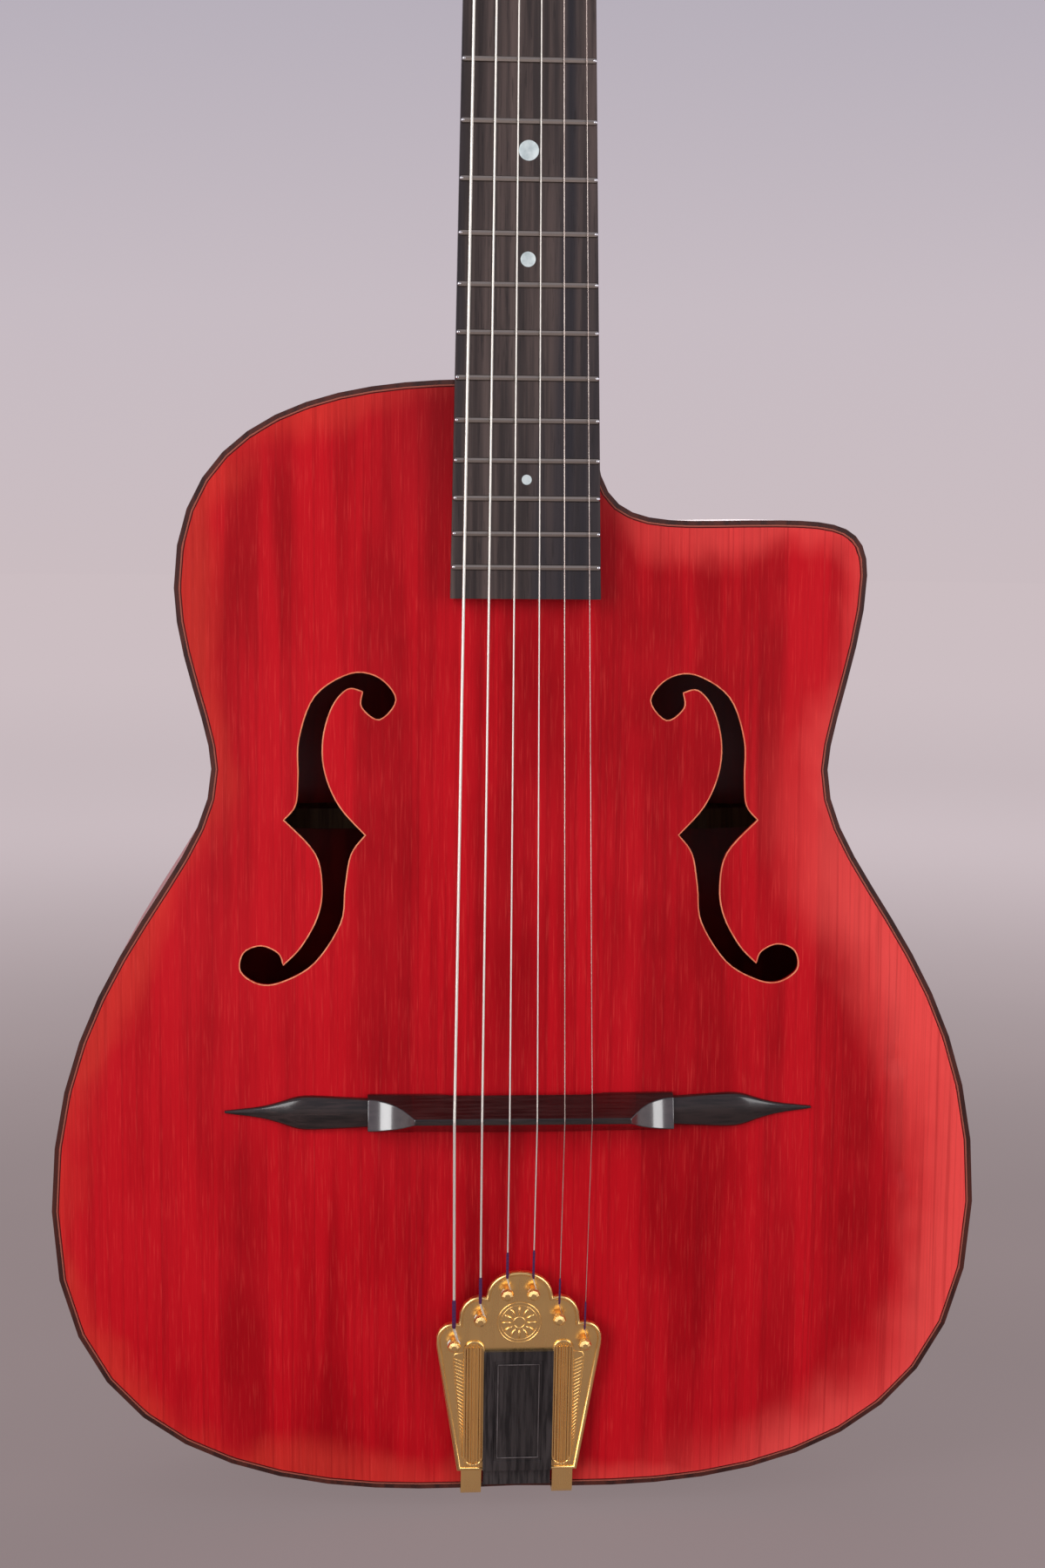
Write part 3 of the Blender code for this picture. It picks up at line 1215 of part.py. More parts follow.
def make_tail_inlay():
    half = TAIL_INLAY_WIDTH / 2
    low = TAILPIECE_THICKNESS + INLAY_GAP
    bm = bmesh.new()
    bm.from_mesh(box_mesh("inlay_block", (-half, TAIL_INLAY_START, low),
                          (half, TAIL_INLAY_START + TAIL_INLAY_LENGTH, low + TAIL_INLAY_THICKNESS)))
    bm.faces.ensure_lookup_table()
    face = max(bm.faces, key=lambda f: f.calc_center_median().z)
    bmesh.ops.inset_region(bm, faces=[face], thickness=TAIL_INLAY_BORDER, depth=0)
    bmesh.ops.inset_region(bm, faces=[face], thickness=0.4 * MM, depth=-TAIL_INLAY_RECESS)
    link_object("tailpiece_inlay", mesh_of("tailpiece_inlay", bm), TAIL, EBONY)
    strip_half = TAIL_STRIP_WIDTH / 2
    start = 2.2 * MM
    link_object("tailpiece_pad", box_mesh("tailpiece_pad", (-strip_half, start, top_arch(0, start + TAIL_STRIP_LENGTH) + SEAT_GAP),
                                          (strip_half, start + TAIL_STRIP_LENGTH, TAILPIECE_LIFT + 1.2 * MM)), BODY, EBONY)


def make_string_pins():
    bm = bmesh.new()
    for x, y in PIN_PLACES:
        for side in (-1, 1):
            base = TAILPIECE_THICKNESS
            rows = [(PIN_STEM_RADIUS, base / 2), (PIN_STEM_RADIUS, base + PIN_STEM_HEIGHT)]
            rows += [(PIN_HEAD_RADIUS * math.cos(a), base + PIN_STEM_HEIGHT + PIN_HEAD_RADIUS * (0.45 + 0.75 * math.sin(a)))
                     for a in [math.radians(d) for d in (-30, 5, 35, 65)]]
            rings = []
            for radius, z in rows:
                rings.append([bm.verts.new((side * x + radius * math.cos(t), y + radius * math.sin(t), z))
                              for t in [math.pi * i / 4 for i in range(8)]])
            for a, b in zip(rings, rings[1:]):
                for i in range(8):
                    j = (i + 1) % 8
                    bm.faces.new((a[i], a[j], b[j], b[i]))
            bm.faces.new(rings[0][::-1])
            bm.faces.new(rings[-1])
    return link_object("string_pins", mesh_of("string_pins", bm), TAIL, None, CUTTERS)


def make_end_pin():
    place = BODY @ Matrix.Translation((0, 0, -BODY_DEPTH / 2)) @ Matrix.Rotation(math.pi / 2, 4, "X")
    r, s = END_PIN_RADIUS, END_PIN_SHANK_RADIUS
    profile = [(0, END_PIN_LENGTH), (r * 0.8, END_PIN_LENGTH), (r, END_PIN_LENGTH - 1.5 * MM),
               (r * 0.8, END_PIN_LENGTH - 3.5 * MM), (r * 0.55, END_PIN_LENGTH - 6 * MM), (r * 0.95, SEAT_GAP),
               (s, SEAT_GAP), (s * 0.9, -END_PIN_SHANK_LENGTH), (0, -END_PIN_SHANK_LENGTH)]
    turned_object("end_pin", profile, place, EBONY, 14)


make_soundboard()
make_back()
make_ribs()
make_bindings()
make_linings()
make_blocks()
make_braces()
make_neck()
make_head_plate()
make_fingerboard()
make_nut()
make_strings()
make_side_plates()
for tuner in range(1, 7):
    make_tuner(tuner)
make_bridge()
make_tailpiece()
make_end_pin()
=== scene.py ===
"""Looks of a gypsy jazz guitar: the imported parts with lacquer, woods, metals and fine trim around them."""
import json
import math

import bmesh
import bpy
from mathutils import Matrix, Vector


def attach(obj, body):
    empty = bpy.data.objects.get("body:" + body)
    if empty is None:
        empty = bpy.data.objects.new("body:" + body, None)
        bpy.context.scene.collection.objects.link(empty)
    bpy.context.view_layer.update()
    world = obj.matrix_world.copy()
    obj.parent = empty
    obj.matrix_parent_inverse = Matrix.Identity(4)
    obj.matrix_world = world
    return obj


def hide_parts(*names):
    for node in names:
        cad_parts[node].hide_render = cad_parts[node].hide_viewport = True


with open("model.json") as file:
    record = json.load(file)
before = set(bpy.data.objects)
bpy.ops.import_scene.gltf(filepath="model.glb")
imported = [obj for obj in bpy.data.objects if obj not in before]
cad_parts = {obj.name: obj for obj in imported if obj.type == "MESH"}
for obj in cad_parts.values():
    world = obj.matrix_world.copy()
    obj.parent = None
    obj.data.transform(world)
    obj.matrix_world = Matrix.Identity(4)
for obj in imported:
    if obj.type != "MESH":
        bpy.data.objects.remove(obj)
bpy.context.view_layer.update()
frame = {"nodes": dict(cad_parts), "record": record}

MM = 0.001
GUITAR = "guitar"

# Sizes shared with the solid model
BODY_LENGTH = 463.3 * MM
BODY_DEPTH = 96 * MM
LOWER_BOUT = 386 * MM
LOWER_BOUT_Y = 122 * MM
WAIST = 252.8 * MM
WAIST_Y = 306 * MM
UPPER_BOUT = 281.6 * MM
SHOULDER_Y = 379 * MM
HORN_SIDE_Y = 386 * MM
HORN_TOP = (104 * MM, 408.1 * MM)
CUTAWAY_END_Y = 445 * MM
LOWER_HANDLES = (36 * MM, 139 * MM)
WAIST_HANDLES = (104 * MM, 45 * MM)
UPPER_HANDLES = (17 * MM, 27 * MM)
SHOULDER_PULL = (85.7 * MM, 46.7 * MM)
HORN_PULL = (20.4 * MM, 24.8 * MM)
CUTAWAY_PULL = (51 * MM, 45 * MM)
TOP_ARCH = 8.5 * MM
TOP_THICKNESS = 2.8 * MM
CUTAWAY_FLARE = 70 * MM
PLATE_INSET = 2.1 * MM
SCALE_LENGTH = 670 * MM
NECK_ANGLE = math.radians(2.03)
STRING_HEIGHT = 26 * MM
ACTION_DROP = 5.5 * MM
NUT_WIDTH = 44.6 * MM
FINGERBOARD_END_WIDTH = 60.4 * MM
FINGERBOARD_END = SCALE_LENGTH * 2 ** (-20 / 12)
FRET_HEIGHT = 1.0 * MM
HEAD_ANGLE = math.radians(14)
HEAD_START = SCALE_LENGTH + 6.4 * MM
HEAD_FACE_DROP = 6 * MM
TAILPIECE_LIFT = 2.2 * MM
TAILPIECE_ANGLE = math.radians(6.5)
TAILPIECE_THICKNESS = 1.6 * MM
JOINT_DISTANCE = SCALE_LENGTH * 2 ** (-14 / 12)
BRIDGE_Y = BODY_LENGTH - JOINT_DISTANCE * math.cos(NECK_ANGLE)
STRING_DIAMETERS = (1.17 * MM, 0.89 * MM, 0.66 * MM, 0.53 * MM, 0.38 * MM, 0.3 * MM)
PIN_PLACES = ((27.2 * MM, 68.2 * MM), (16.4 * MM, 79.6 * MM), (5.4 * MM, 91.0 * MM))
LEG_MIDDLE_X = 19.3 * MM
LEG_FACE_Y = -2.6 * MM

# Working frames, as in the solid model: X across, Y along, Z out of the face
BODY = Matrix.Translation((0, -BODY_DEPTH / 2, 0)) @ Matrix.Rotation(math.pi / 2, 4, "X")
NECK = (BODY @ Matrix.Translation((0, BRIDGE_Y, STRING_HEIGHT - ACTION_DROP))
        @ Matrix.Rotation(-NECK_ANGLE, 4, "X"))
HEAD = (NECK @ Matrix.Translation((0, HEAD_START, -HEAD_FACE_DROP))
        @ Matrix.Rotation(-HEAD_ANGLE, 4, "X"))
TAIL = (BODY @ Matrix.Translation((0, 0, TAILPIECE_LIFT))
        @ Matrix.Rotation(TAILPIECE_ANGLE, 4, "X"))


# Plane curves
def bezier(start, handle_a, handle_b, end, steps):
    """Points of a cubic curve, without its first one."""
    points = []
    for i in range(1, steps + 1):
        t = i / steps
        s = 1 - t
        weights = (s ** 3, 3 * s * s * t, 3 * s * t * t, t ** 3)
        places = (start, handle_a, handle_b, end)
        points.append(tuple(sum(w * p[k] for w, p in zip(weights, places)) for k in (0, 1)))
    return points


def smooth_run(knots, steps):
    """A smooth line through knots, whose ends may be corners."""
    padded = [knots[0]] + list(knots) + [knots[-1]]
    points = [knots[0]]
    for a, b, c, d in zip(padded, padded[1:], padded[2:], padded[3:]):
        for i in range(1, steps + 1):
            t = i / steps
            points.append(tuple(
                0.5 * (2 * q + (r - p) * t + (2 * p - 5 * q + 4 * r - s) * t * t
                       + (3 * q - p - 3 * r + s) * t ** 3)
                for p, q, r, s in zip(a, b, c, d)))
    return points


def inset_path(path, inset):
    """The closed path moved to its left by inset, with mitred corners."""
    moved = []
    for i, point in enumerate(path):
        normals = []
        for a, b in ((path[i - 1], point), (point, path[(i + 1) % len(path)])):
            along = Vector(b) - Vector(a)
            normals.append(Vector((-along.y, along.x)).normalized())
        middle = (normals[0] + normals[1]) / 2
        shift = middle * (inset / max(middle.length_squared, 0.2))
        moved.append((point[0] + shift.x, point[1] + shift.y))
    return moved


def mirrored(points):
    return [(-x, y) for x, y in points]


def lower_side():
    lower = (LOWER_BOUT / 2, LOWER_BOUT_Y)
    waist = (WAIST / 2, WAIST_Y)
    points = [(0, 0)]
    points += bezier((0, 0), (LOWER_HANDLES[0], 0), (lower[0], lower[1] - LOWER_HANDLES[1]), lower, 13)
    points += bezier(lower, (lower[0], lower[1] + WAIST_HANDLES[0]),
                     (waist[0], waist[1] - WAIST_HANDLES[1]), waist, 11)
    return points


def upper_side(top_y):
    waist = (WAIST / 2, WAIST_Y)
    upper = (UPPER_BOUT / 2, top_y)
    return bezier(waist, (waist[0], waist[1] + UPPER_HANDLES[0]),
                  (upper[0], upper[1] - UPPER_HANDLES[1]), upper, 6)


def full_side():
    upper = (UPPER_BOUT / 2, SHOULDER_Y)
    top = (0, BODY_LENGTH)
    shoulder = bezier(upper, (upper[0], upper[1] + SHOULDER_PULL[0]), (SHOULDER_PULL[1], top[1]), top, 14)
    return lower_side() + upper_side(SHOULDER_Y) + shoulder


def fingerboard_half_width(distance):
    share = (SCALE_LENGTH - distance) / (SCALE_LENGTH - FINGERBOARD_END)
    return (NUT_WIDTH + (FINGERBOARD_END_WIDTH - NUT_WIDTH) * share) / 2


def cutaway_side():
    side = (UPPER_BOUT / 2, HORN_SIDE_Y)
    end = (fingerboard_half_width(JOINT_DISTANCE) - 0.3 * MM, CUTAWAY_END_Y)
    horn = bezier(side, (side[0], side[1] + HORN_PULL[0]),
                  (HORN_TOP[0] + HORN_PULL[1], HORN_TOP[1]), HORN_TOP, 8)
    hollow = bezier(HORN_TOP, (HORN_TOP[0] - CUTAWAY_PULL[0], HORN_TOP[1]),
                    (end[0], end[1] - CUTAWAY_PULL[1]), end, 11)
    return lower_side() + upper_side(HORN_SIDE_Y) + horn + hollow + [(end[0], BODY_LENGTH)]


FULL_SIDE = full_side()
TREBLE_SIDE = cutaway_side()
BODY_OUTLINE = TREBLE_SIDE + [(0, BODY_LENGTH)] + mirrored(FULL_SIDE)[-2:0:-1]
CUTAWAY_LINE = [Vector(p) for p in TREBLE_SIDE if p[1] >= HORN_SIDE_Y]
OUTLINE_SPANS = [(Vector(a), Vector(b)) for a, b in zip(BODY_OUTLINE, BODY_OUTLINE[1:] + BODY_OUTLINE[:1])]


def span_distance(point, a, b):
    along = b - a
    share = min(max((point - a).dot(along) / max(along.length_squared, 1e-12), 0), 1)
    return (point - a - along * share).length


def edge_distance(x, y):
    point = Vector((x, y))
    return min(span_distance(point, a, b) for a, b in OUTLINE_SPANS)


def side_half_width(y):
    for (x0, y0), (x1, y1) in zip(FULL_SIDE, FULL_SIDE[1:]):
        if y0 <= y <= y1:
            return x0 + (x1 - x0) * (y - y0) / (y1 - y0)
    return 0.0


WIDTH_STEPS = 120
WIDTH_TABLE = [side_half_width(BODY_LENGTH * i / WIDTH_STEPS) for i in range(WIDTH_STEPS + 1)]
LEAST_ARCH_WIDTH = 100 * MM


def arch_half_width(y):
    place = min(max(y / BODY_LENGTH, 0), 1) * WIDTH_STEPS
    i = min(int(place), WIDTH_STEPS - 1)
    width = WIDTH_TABLE[i] + (WIDTH_TABLE[i + 1] - WIDTH_TABLE[i]) * (place - i)
    return max(width, LEAST_ARCH_WIDTH)


def cutaway_distance(x, y):
    point = Vector((x, y))
    best = 1.0
    for a, b in zip(CUTAWAY_LINE, CUTAWAY_LINE[1:]):
        distance = span_distance(point, a, b)
        along = b - a
        offset = point - a
        if distance < abs(best):
            best = distance if along.x * offset.y - along.y * offset.x >= 0 else -distance
    return best


def top_arch(x, y):
    """Height of the top's face over the rim."""
    across = max(1 - (x / arch_half_width(y)) ** 2, -0.5)
    if y < BRIDGE_Y:
        along = 1 - ((BRIDGE_Y - y) / BRIDGE_Y) ** 2
    else:
        along = 1 - ((y - BRIDGE_Y) / (BODY_LENGTH - BRIDGE_Y)) ** 2.5
    along = max(along, -0.5)
    if across < 0 and along < 0:
        along = -along
    share = min(max(cutaway_distance(x, y) / CUTAWAY_FLARE, 0), 1)
    return TOP_ARCH * across * along * (1 - (1 - share) ** 2)


HOLE_RUNS = (
    ((97.2, 285.5), (92.3, 291.7), (91.3, 303), (90.9, 318.6), (84.4, 336.1), (70, 345.3), (58.5, 343.6),
     (51.7, 334.8), (58.4, 326.6), (65.6, 331.6), (65.2, 337.9)),
    ((65.2, 337.9), (71.2, 338.9), (77.4, 331.8), (81.2, 318.6), (80.4, 305), (74.6, 291.4), (64, 279.6)),
    ((64, 279.6), (69.8, 271.6), (72.2, 258), (74, 243.5), (84.6, 227), (97.5, 219.2), (107, 218),
     (114.8, 223.2), (113.6, 231), (106.4, 234), (99.4, 231), (97.4, 226.1)),
    ((97.4, 226.1), (90.2, 233.6), (83.6, 245.6), (81.6, 257.5), (84.4, 271.9), (97.2, 285.5)))
HOLE_STEPS = 5


def sound_hole():
    points = []
    for run in HOLE_RUNS:
        points += smooth_run([(x * MM, y * MM) for x, y in run], HOLE_STEPS)[:-1]
    return points


# Objects
def link(name, data, place=None):
    item = bpy.data.objects.new(name, data)
    bpy.context.scene.collection.objects.link(item)
    if place is not None:
        item.matrix_world = place
    return item


def mesh_object(name, bm, material, body=GUITAR, smooth_angle=35):
    bmesh.ops.recalc_face_normals(bm, faces=bm.faces)
    mesh = bpy.data.meshes.new(name)
    bm.to_mesh(mesh)
    bm.free()
    mesh.materials.append(material)
    mesh.shade_smooth()
    mesh.set_sharp_from_angle(angle=math.radians(smooth_angle))
    item = link(name, mesh)
    if body is not None:
        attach(item, body)
    return item


def tube_mesh(bm, points, radius, sides=8, closed=False):
    """A round wire along points, added to bm; radius is a number or one for each point."""
    radii = radius if isinstance(radius, (list, tuple)) else [radius] * len(points)
    rings = []
    count = len(points)
    normal = None
    for i, point in enumerate(points):
        before = points[i - 1] if (i > 0 or closed) else points[i]
        after = points[(i + 1) % count] if (i < count - 1 or closed) else points[i]
        along = (after - before).normalized()
        if normal is None:
            normal = along.orthogonal().normalized()
        normal = (normal - along * normal.dot(along)).normalized()
        other = along.cross(normal)
        rings.append([bm.verts.new(point + (normal * math.cos(t) + other * math.sin(t)) * radii[i])
                      for t in [2 * math.pi * k / sides for k in range(sides)]])
    pairs = list(zip(rings, rings[1:]))
    if closed:
        pairs.append((rings[-1], rings[0]))
    for a, b in pairs:
        for k in range(sides):
            m = (k + 1) % sides
            bm.faces.new((a[k], a[m], b[m], b[k]))
    if not closed:
        bm.faces.new(rings[0][::-1])
        bm.faces.new(rings[-1])


# Shading
def srgb(red, green, blue):
    """Linear colour of 8-bit sRGB values."""
    linear = []
    for value in (red, green, blue):
        c = value / 255
        linear.append(c / 12.92 if c <= 0.04045 else ((c + 0.055) / 1.055) ** 2.4)
    return (*linear, 1.0)


class Shader:
    """A material's node tree, with short calls for the nodes used here."""

    def __init__(self, name):
        self.material = bpy.data.materials.new(name)
        self.material.use_nodes = True
        self.tree = self.material.node_tree
        self.bsdf = self.tree.nodes["Principled BSDF"]

    def node(self, kind, **settings):
        item = self.tree.nodes.new(kind)
        for key, value in settings.items():
            setattr(item, key, value)
        return item

    def feed(self, socket, value):
        if isinstance(value, bpy.types.NodeSocket):
            self.tree.links.new(value, socket)
        elif value is not None:
            socket.default_value = value

    def place(self):
        return self.node("ShaderNodeTexCoord").outputs["Object"]

    def scaled(self, scale, vector=None):
        mapping = self.node("ShaderNodeMapping")
        self.feed(mapping.inputs["Vector"], vector or self.place())
        mapping.inputs["Scale"].default_value = scale
        return mapping.outputs["Vector"]

    def noise(self, scale, detail=2.0, roughness=0.5, vector=None):
        item = self.node("ShaderNodeTexNoise")
        self.feed(item.inputs["Vector"], self.scaled(scale, vector))
        item.inputs["Scale"].default_value = 1.0
        item.inputs["Detail"].default_value = detail
        item.inputs["Roughness"].default_value = roughness
        return item.outputs["Fac"]

    def math(self, operation, a, b=None, clamp=False):
        item = self.node("ShaderNodeMath", operation=operation, use_clamp=clamp)
        self.feed(item.inputs[0], a)
        if b is not None:
            self.feed(item.inputs[1], b)
        return item.outputs[0]

    def band(self, value, low, high, to_low=0.0, to_high=1.0):
        item = self.node("ShaderNodeMapRange", interpolation_type="SMOOTHSTEP")
        self.feed(item.inputs["Value"], value)
        item.inputs["From Min"].default_value = low
        item.inputs["From Max"].default_value = high
        item.inputs["To Min"].default_value = to_low
        item.inputs["To Max"].default_value = to_high
        return item.outputs["Result"]

    def mix(self, share, a, b, blend="MIX"):
        item = self.node("ShaderNodeMix", data_type="RGBA", blend_type=blend)
        self.feed(item.inputs[0], share)
        self.feed(item.inputs[6], a)
        self.feed(item.inputs[7], b)
        return item.outputs[2]

    def axis(self, name, vector=None):
        item = self.node("ShaderNodeSeparateXYZ")
        self.feed(item.inputs[0], vector or self.place())
        return item.outputs[name]

    def bump(self, height, strength, distance):
        item = self.node("ShaderNodeBump")
        item.inputs["Strength"].default_value = strength
        item.inputs["Distance"].default_value = distance
        self.feed(item.inputs["Height"], height)
        self.feed(self.bsdf.inputs["Normal"], item.outputs["Normal"])

    def finish(self, colour, roughness, metallic=0.0, specular=0.5, coat=0.0):
        self.feed(self.bsdf.inputs["Base Color"], colour)
        self.feed(self.bsdf.inputs["Roughness"], roughness)
        self.feed(self.bsdf.inputs["Metallic"], metallic)
        self.feed(self.bsdf.inputs["Specular IOR Level"], specular)
        self.feed(self.bsdf.inputs["Coat Weight"], coat)
        self.bsdf.inputs["Coat Roughness"].default_value = 0.08
        return self.material


def red_top_material():
    """Red lacquer on straight-grained spruce, with thin lines beside the binding; paler round the rim, partly a
    pale burst in the finish and partly painted sheen, with the painted sheen stronger on the treble side, and
    painted shade beside the fingerboard end.
    """
    s = Shader("red_spruce_top")
    grain = s.noise((620, 40, 5), 3.0, 0.55)
    streaks = s.noise((70, 10, 4), 2.0, 0.5)
    clouds = s.noise((16, 16, 12), 3.0, 0.6)
    fibre = s.noise((1500, 40, 60), 2.0, 0.6)
    red = s.mix(s.band(streaks, 0.38, 0.62), srgb(150, 0, 12), srgb(184, 7, 22))
    red = s.mix(s.band(clouds, 0.35, 0.7, 0.0, 0.4), red, srgb(200, 20, 33))
    edge = s.node("ShaderNodeAttribute", attribute_name="edge").outputs["Fac"]
    uneven = s.math("MULTIPLY", s.band(clouds, 0.3, 0.75, -9 * MM, 9 * MM), 1.0)
    spread = s.math("ADD", edge, uneven)
    # Paler round the rim: partly a pale burst in the finish, partly painted sheen; the broad pale patch on the
    # lower treble side is painted sheen.
    low_treble_sheen = s.math("MULTIPLY", s.band(s.axis("X"), 0.03, 0.13), s.band(s.axis("Z"), 0.22, 0.36, 1.0, 0.0))
    wide = s.math("MULTIPLY", s.band(spread, 0.0, 36 * MM, 0.85, 0.0), low_treble_sheen)
    rim = s.math("MAXIMUM", wide, s.band(spread, 0.0, 17 * MM, 0.55, 0.0))
    # Painted sheen: the rim's colour is paler on the treble side than on the bass side.
    side = s.band(s.axis("X"), -0.12, 0.12)
    rim_burst_and_sheen_colour = s.mix(side, srgb(206, 54, 42), srgb(236, 78, 74))
    red = s.mix(rim, red, rim_burst_and_sheen_colour)
    # Painted shade: the top darker beside the fingerboard end and towards the neck.
    neck_painted_shade = s.math("MULTIPLY", s.band(s.axis("Z"), 0.36, 0.46),
                       s.band(s.math("ABSOLUTE", s.axis("X")), 0.03, 0.085, 1.0, 0.0))
    red = s.mix(s.math("MULTIPLY", neck_painted_shade, 0.65), red, srgb(120, 8, 16))
    red = s.mix(s.band(grain, 0.46, 0.72, 0.0, 0.34), red, srgb(120, 0, 10))
    red = s.mix(s.band(fibre, 0.5, 0.8, 0.0, 0.16), red, srgb(255, 90, 80))
    tan = s.math("MULTIPLY", s.band(edge, 1.8 * MM, 1.9 * MM), s.band(edge, 2.3 * MM, 2.45 * MM, 1.0, 0.0))
    dark = s.math("MULTIPLY", s.band(edge, 2.3 * MM, 2.45 * MM), s.band(edge, 2.8 * MM, 3.0 * MM, 1.0, 0.0))
    red = s.mix(dark, red, srgb(70, 8, 10))
    red = s.mix(tan, red, srgb(150, 84, 70))
    s.bump(grain, 0.12, 0.15 * MM)
    return s.finish(red, 0.48, specular=0.12)


def red_lacquer(name, grain_scale, light, dark, roughness=0.3):
    s = Shader(name)
    grain = s.noise(grain_scale, 3.0, 0.55)
    figure = s.noise((9, 9, 60), 2.0, 0.5)
    colour = s.mix(s.band(grain, 0.4, 0.66), light, dark)
    colour = s.mix(s.band(figure, 0.42, 0.62, 0.0, 0.45), colour, dark)
    return s.finish(colour, roughness, specular=0.4)


def wood(name, light, dark, grain_scale, roughness=0.6, specular=0.3, coat=0.0):
    s = Shader(name)
    grain = s.noise(grain_scale, 4.0, 0.6)
    broad = s.noise((30, 30, 4), 2.0, 0.5)
    colour = s.mix(s.band(grain, 0.38, 0.66), light, dark)
    colour = s.mix(s.band(broad, 0.35, 0.7, 0.0, 0.5), colour, dark)
    s.bump(grain, 0.15, 0.1 * MM)
    return s.finish(colour, roughness, specular=specular, coat=coat)


def metal(name, colour, roughness, scratch=(300, 300, 40), wear=0.06):
    s = Shader(name)
    marks = s.noise(scratch, 3.0, 0.6)
    rough = s.band(marks, 0.3, 0.7, roughness - wear, roughness + wear)
    tone = s.mix(s.band(marks, 0.3, 0.75, 0.0, 0.25), colour, tuple(c * 0.75 for c in colour[:3]) + (1,))
    return s.finish(tone, rough, 1.0)


def neck_height(s):
    """Height over the fret tops' plane, in the neck's frame."""
    inverse = NECK.inverted()
    along = s.math("MULTIPLY", s.axis("Y"), inverse[2][1])
    up = s.math("MULTIPLY", s.axis("Z"), inverse[2][2])
    return s.math("ADD", s.math("ADD", along, up), inverse[2][3])


def fingerboard_material():
    """Streaked ebony, with nickel where the frets stand out of it."""
    s = Shader("fingerboard_ebony")
    streak = s.noise((260, 40, 6), 4.0, 0.6)
    bands = s.noise((55, 10, 1.5), 2.0, 0.5)
    pores = s.noise((1300, 60, 70), 2.0, 0.7)
    board = s.mix(s.band(streak, 0.35, 0.68), srgb(46, 38, 37), srgb(84, 70, 66))
    board = s.mix(s.band(bands, 0.46, 0.6, 0.0, 0.75), board, srgb(26, 26, 34))
    board = s.mix(s.band(pores, 0.56, 0.72, 0.0, 0.5), board, srgb(18, 14, 14))
    fret = s.band(neck_height(s), -FRET_HEIGHT + 0.05 * MM, -FRET_HEIGHT + 0.12 * MM)
    colour = s.mix(fret, board, srgb(168, 162, 152))
    return s.finish(colour, s.math("SUBTRACT", 0.42, s.math("MULTIPLY", fret, 0.2)), fret, 0.35)


def wound_material():
    """Bright wound wire, with fine rings across it: a bump, with painted highlights on the turns and painted
    shade between them.
    """
    s = Shader("wound_string")
    wave = s.node("ShaderNodeTexWave", wave_type="BANDS", bands_direction="Z")
    s.feed(wave.inputs["Vector"], s.place())
    wave.inputs["Scale"].default_value = 900
    wave.inputs["Distortion"].default_value = 0.0
    # Painted highlight on each turn of the winding and painted shade between the turns, besides the real bump.
    colour = s.mix(wave.outputs["Fac"], srgb(196, 190, 180), srgb(250, 246, 238))
    s.bump(wave.outputs["Fac"], 0.4, 0.05 * MM)
    return s.finish(colour, 0.38, 0.55)


def plain_wire_material():
    s = Shader("plain_string")
    marks = s.noise((400, 400, 30), 2.0, 0.5)
    return s.finish(s.mix(s.band(marks, 0.3, 0.7), srgb(196, 178, 168), srgb(232, 220, 210)), 0.26, 0.85)


def pearl(name, light, dark, roughness=0.22):
    s = Shader(name)
    clouds = s.noise((260, 260, 260), 3.0, 0.6)
    return s.finish(s.mix(s.band(clouds, 0.35, 0.7), light, dark), roughness, coat=0.3)


def silk_material():
    s = Shader("purple_silk")
    wave = s.node("ShaderNodeTexWave", wave_type="BANDS", bands_direction="Z")
    s.feed(wave.inputs["Vector"], s.place())
    wave.inputs["Scale"].default_value = 600
    wave.inputs["Distortion"].default_value = 1.0
    return s.finish(s.mix(wave.outputs["Fac"], srgb(48, 20, 52), srgb(96, 48, 96)), 0.8, specular=0.2)


LOOKS = {
    "red_spruce": red_top_material(),
    "red_maple": red_lacquer("red_maple_lacquer", (60, 300, 8), srgb(176, 26, 28), srgb(134, 13, 19)),
    "dark_rosewood": wood("binding_rosewood", srgb(76, 30, 20), srgb(42, 13, 8), (200, 200, 20), 0.25, 0.4, 0.3),
    # Painted shade: the bare inner spruce is given a darker brown than the wood has, for the shade inside the
    # body.
    "bare_spruce": wood("inner_spruce_painted_shade", srgb(128, 100, 70), srgb(90, 66, 44), (300, 60, 20)),
    "mahogany": red_lacquer("red_mahogany", (260, 260, 9), srgb(128, 34, 26), srgb(74, 14, 12), 0.3),
    "ebony": wood("polished_ebony", srgb(40, 35, 35), srgb(16, 13, 14), (60, 60, 500), 0.27, 0.5, 0.25),
    "brass": metal("gilt_brass", srgb(252, 212, 140), 0.3),
    "steel": metal("bright_steel", srgb(205, 205, 208), 0.22),
    "bone": pearl("polished_bone", srgb(236, 228, 208), srgb(214, 202, 176), 0.35),
    "button_pearl": pearl("cream_pearl", srgb(240, 232, 214), srgb(216, 204, 180)),
    "duralumin": metal("drawn_bar", srgb(180, 184, 190), 0.35),
}
WOUND = wound_material()
PLAIN = plain_wire_material()
FINGERBOARD = fingerboard_material()
SILK = silk_material()
PEARL_DOT = pearl("pearl_dot", srgb(214, 224, 224), srgb(184, 198, 200))
HOLE_EDGE = wood("bare_hole_edge", srgb(240, 150, 110), srgb(214, 104, 74), (500, 60, 30), 0.6)
LENGTHWISE_EBONY = wood("inlay_ebony", srgb(58, 52, 52), srgb(20, 17, 18), (700, 60, 50), 0.4, 0.4)
BRIDGE_EBONY = wood("bridge_ebony", srgb(44, 33, 32), srgb(18, 13, 13), (50, 700, 700), 0.2, 0.5, 0.2)
# Painted sheen: a paler ebony for the polished scoops, together with their real gloss.
POLISHED_EBONY_PAINTED_SHEEN = wood("polished_scoop_painted_sheen", srgb(60, 52, 52), srgb(40, 34, 34), (50, 700, 700), 0.2, 1.0, 1.0)
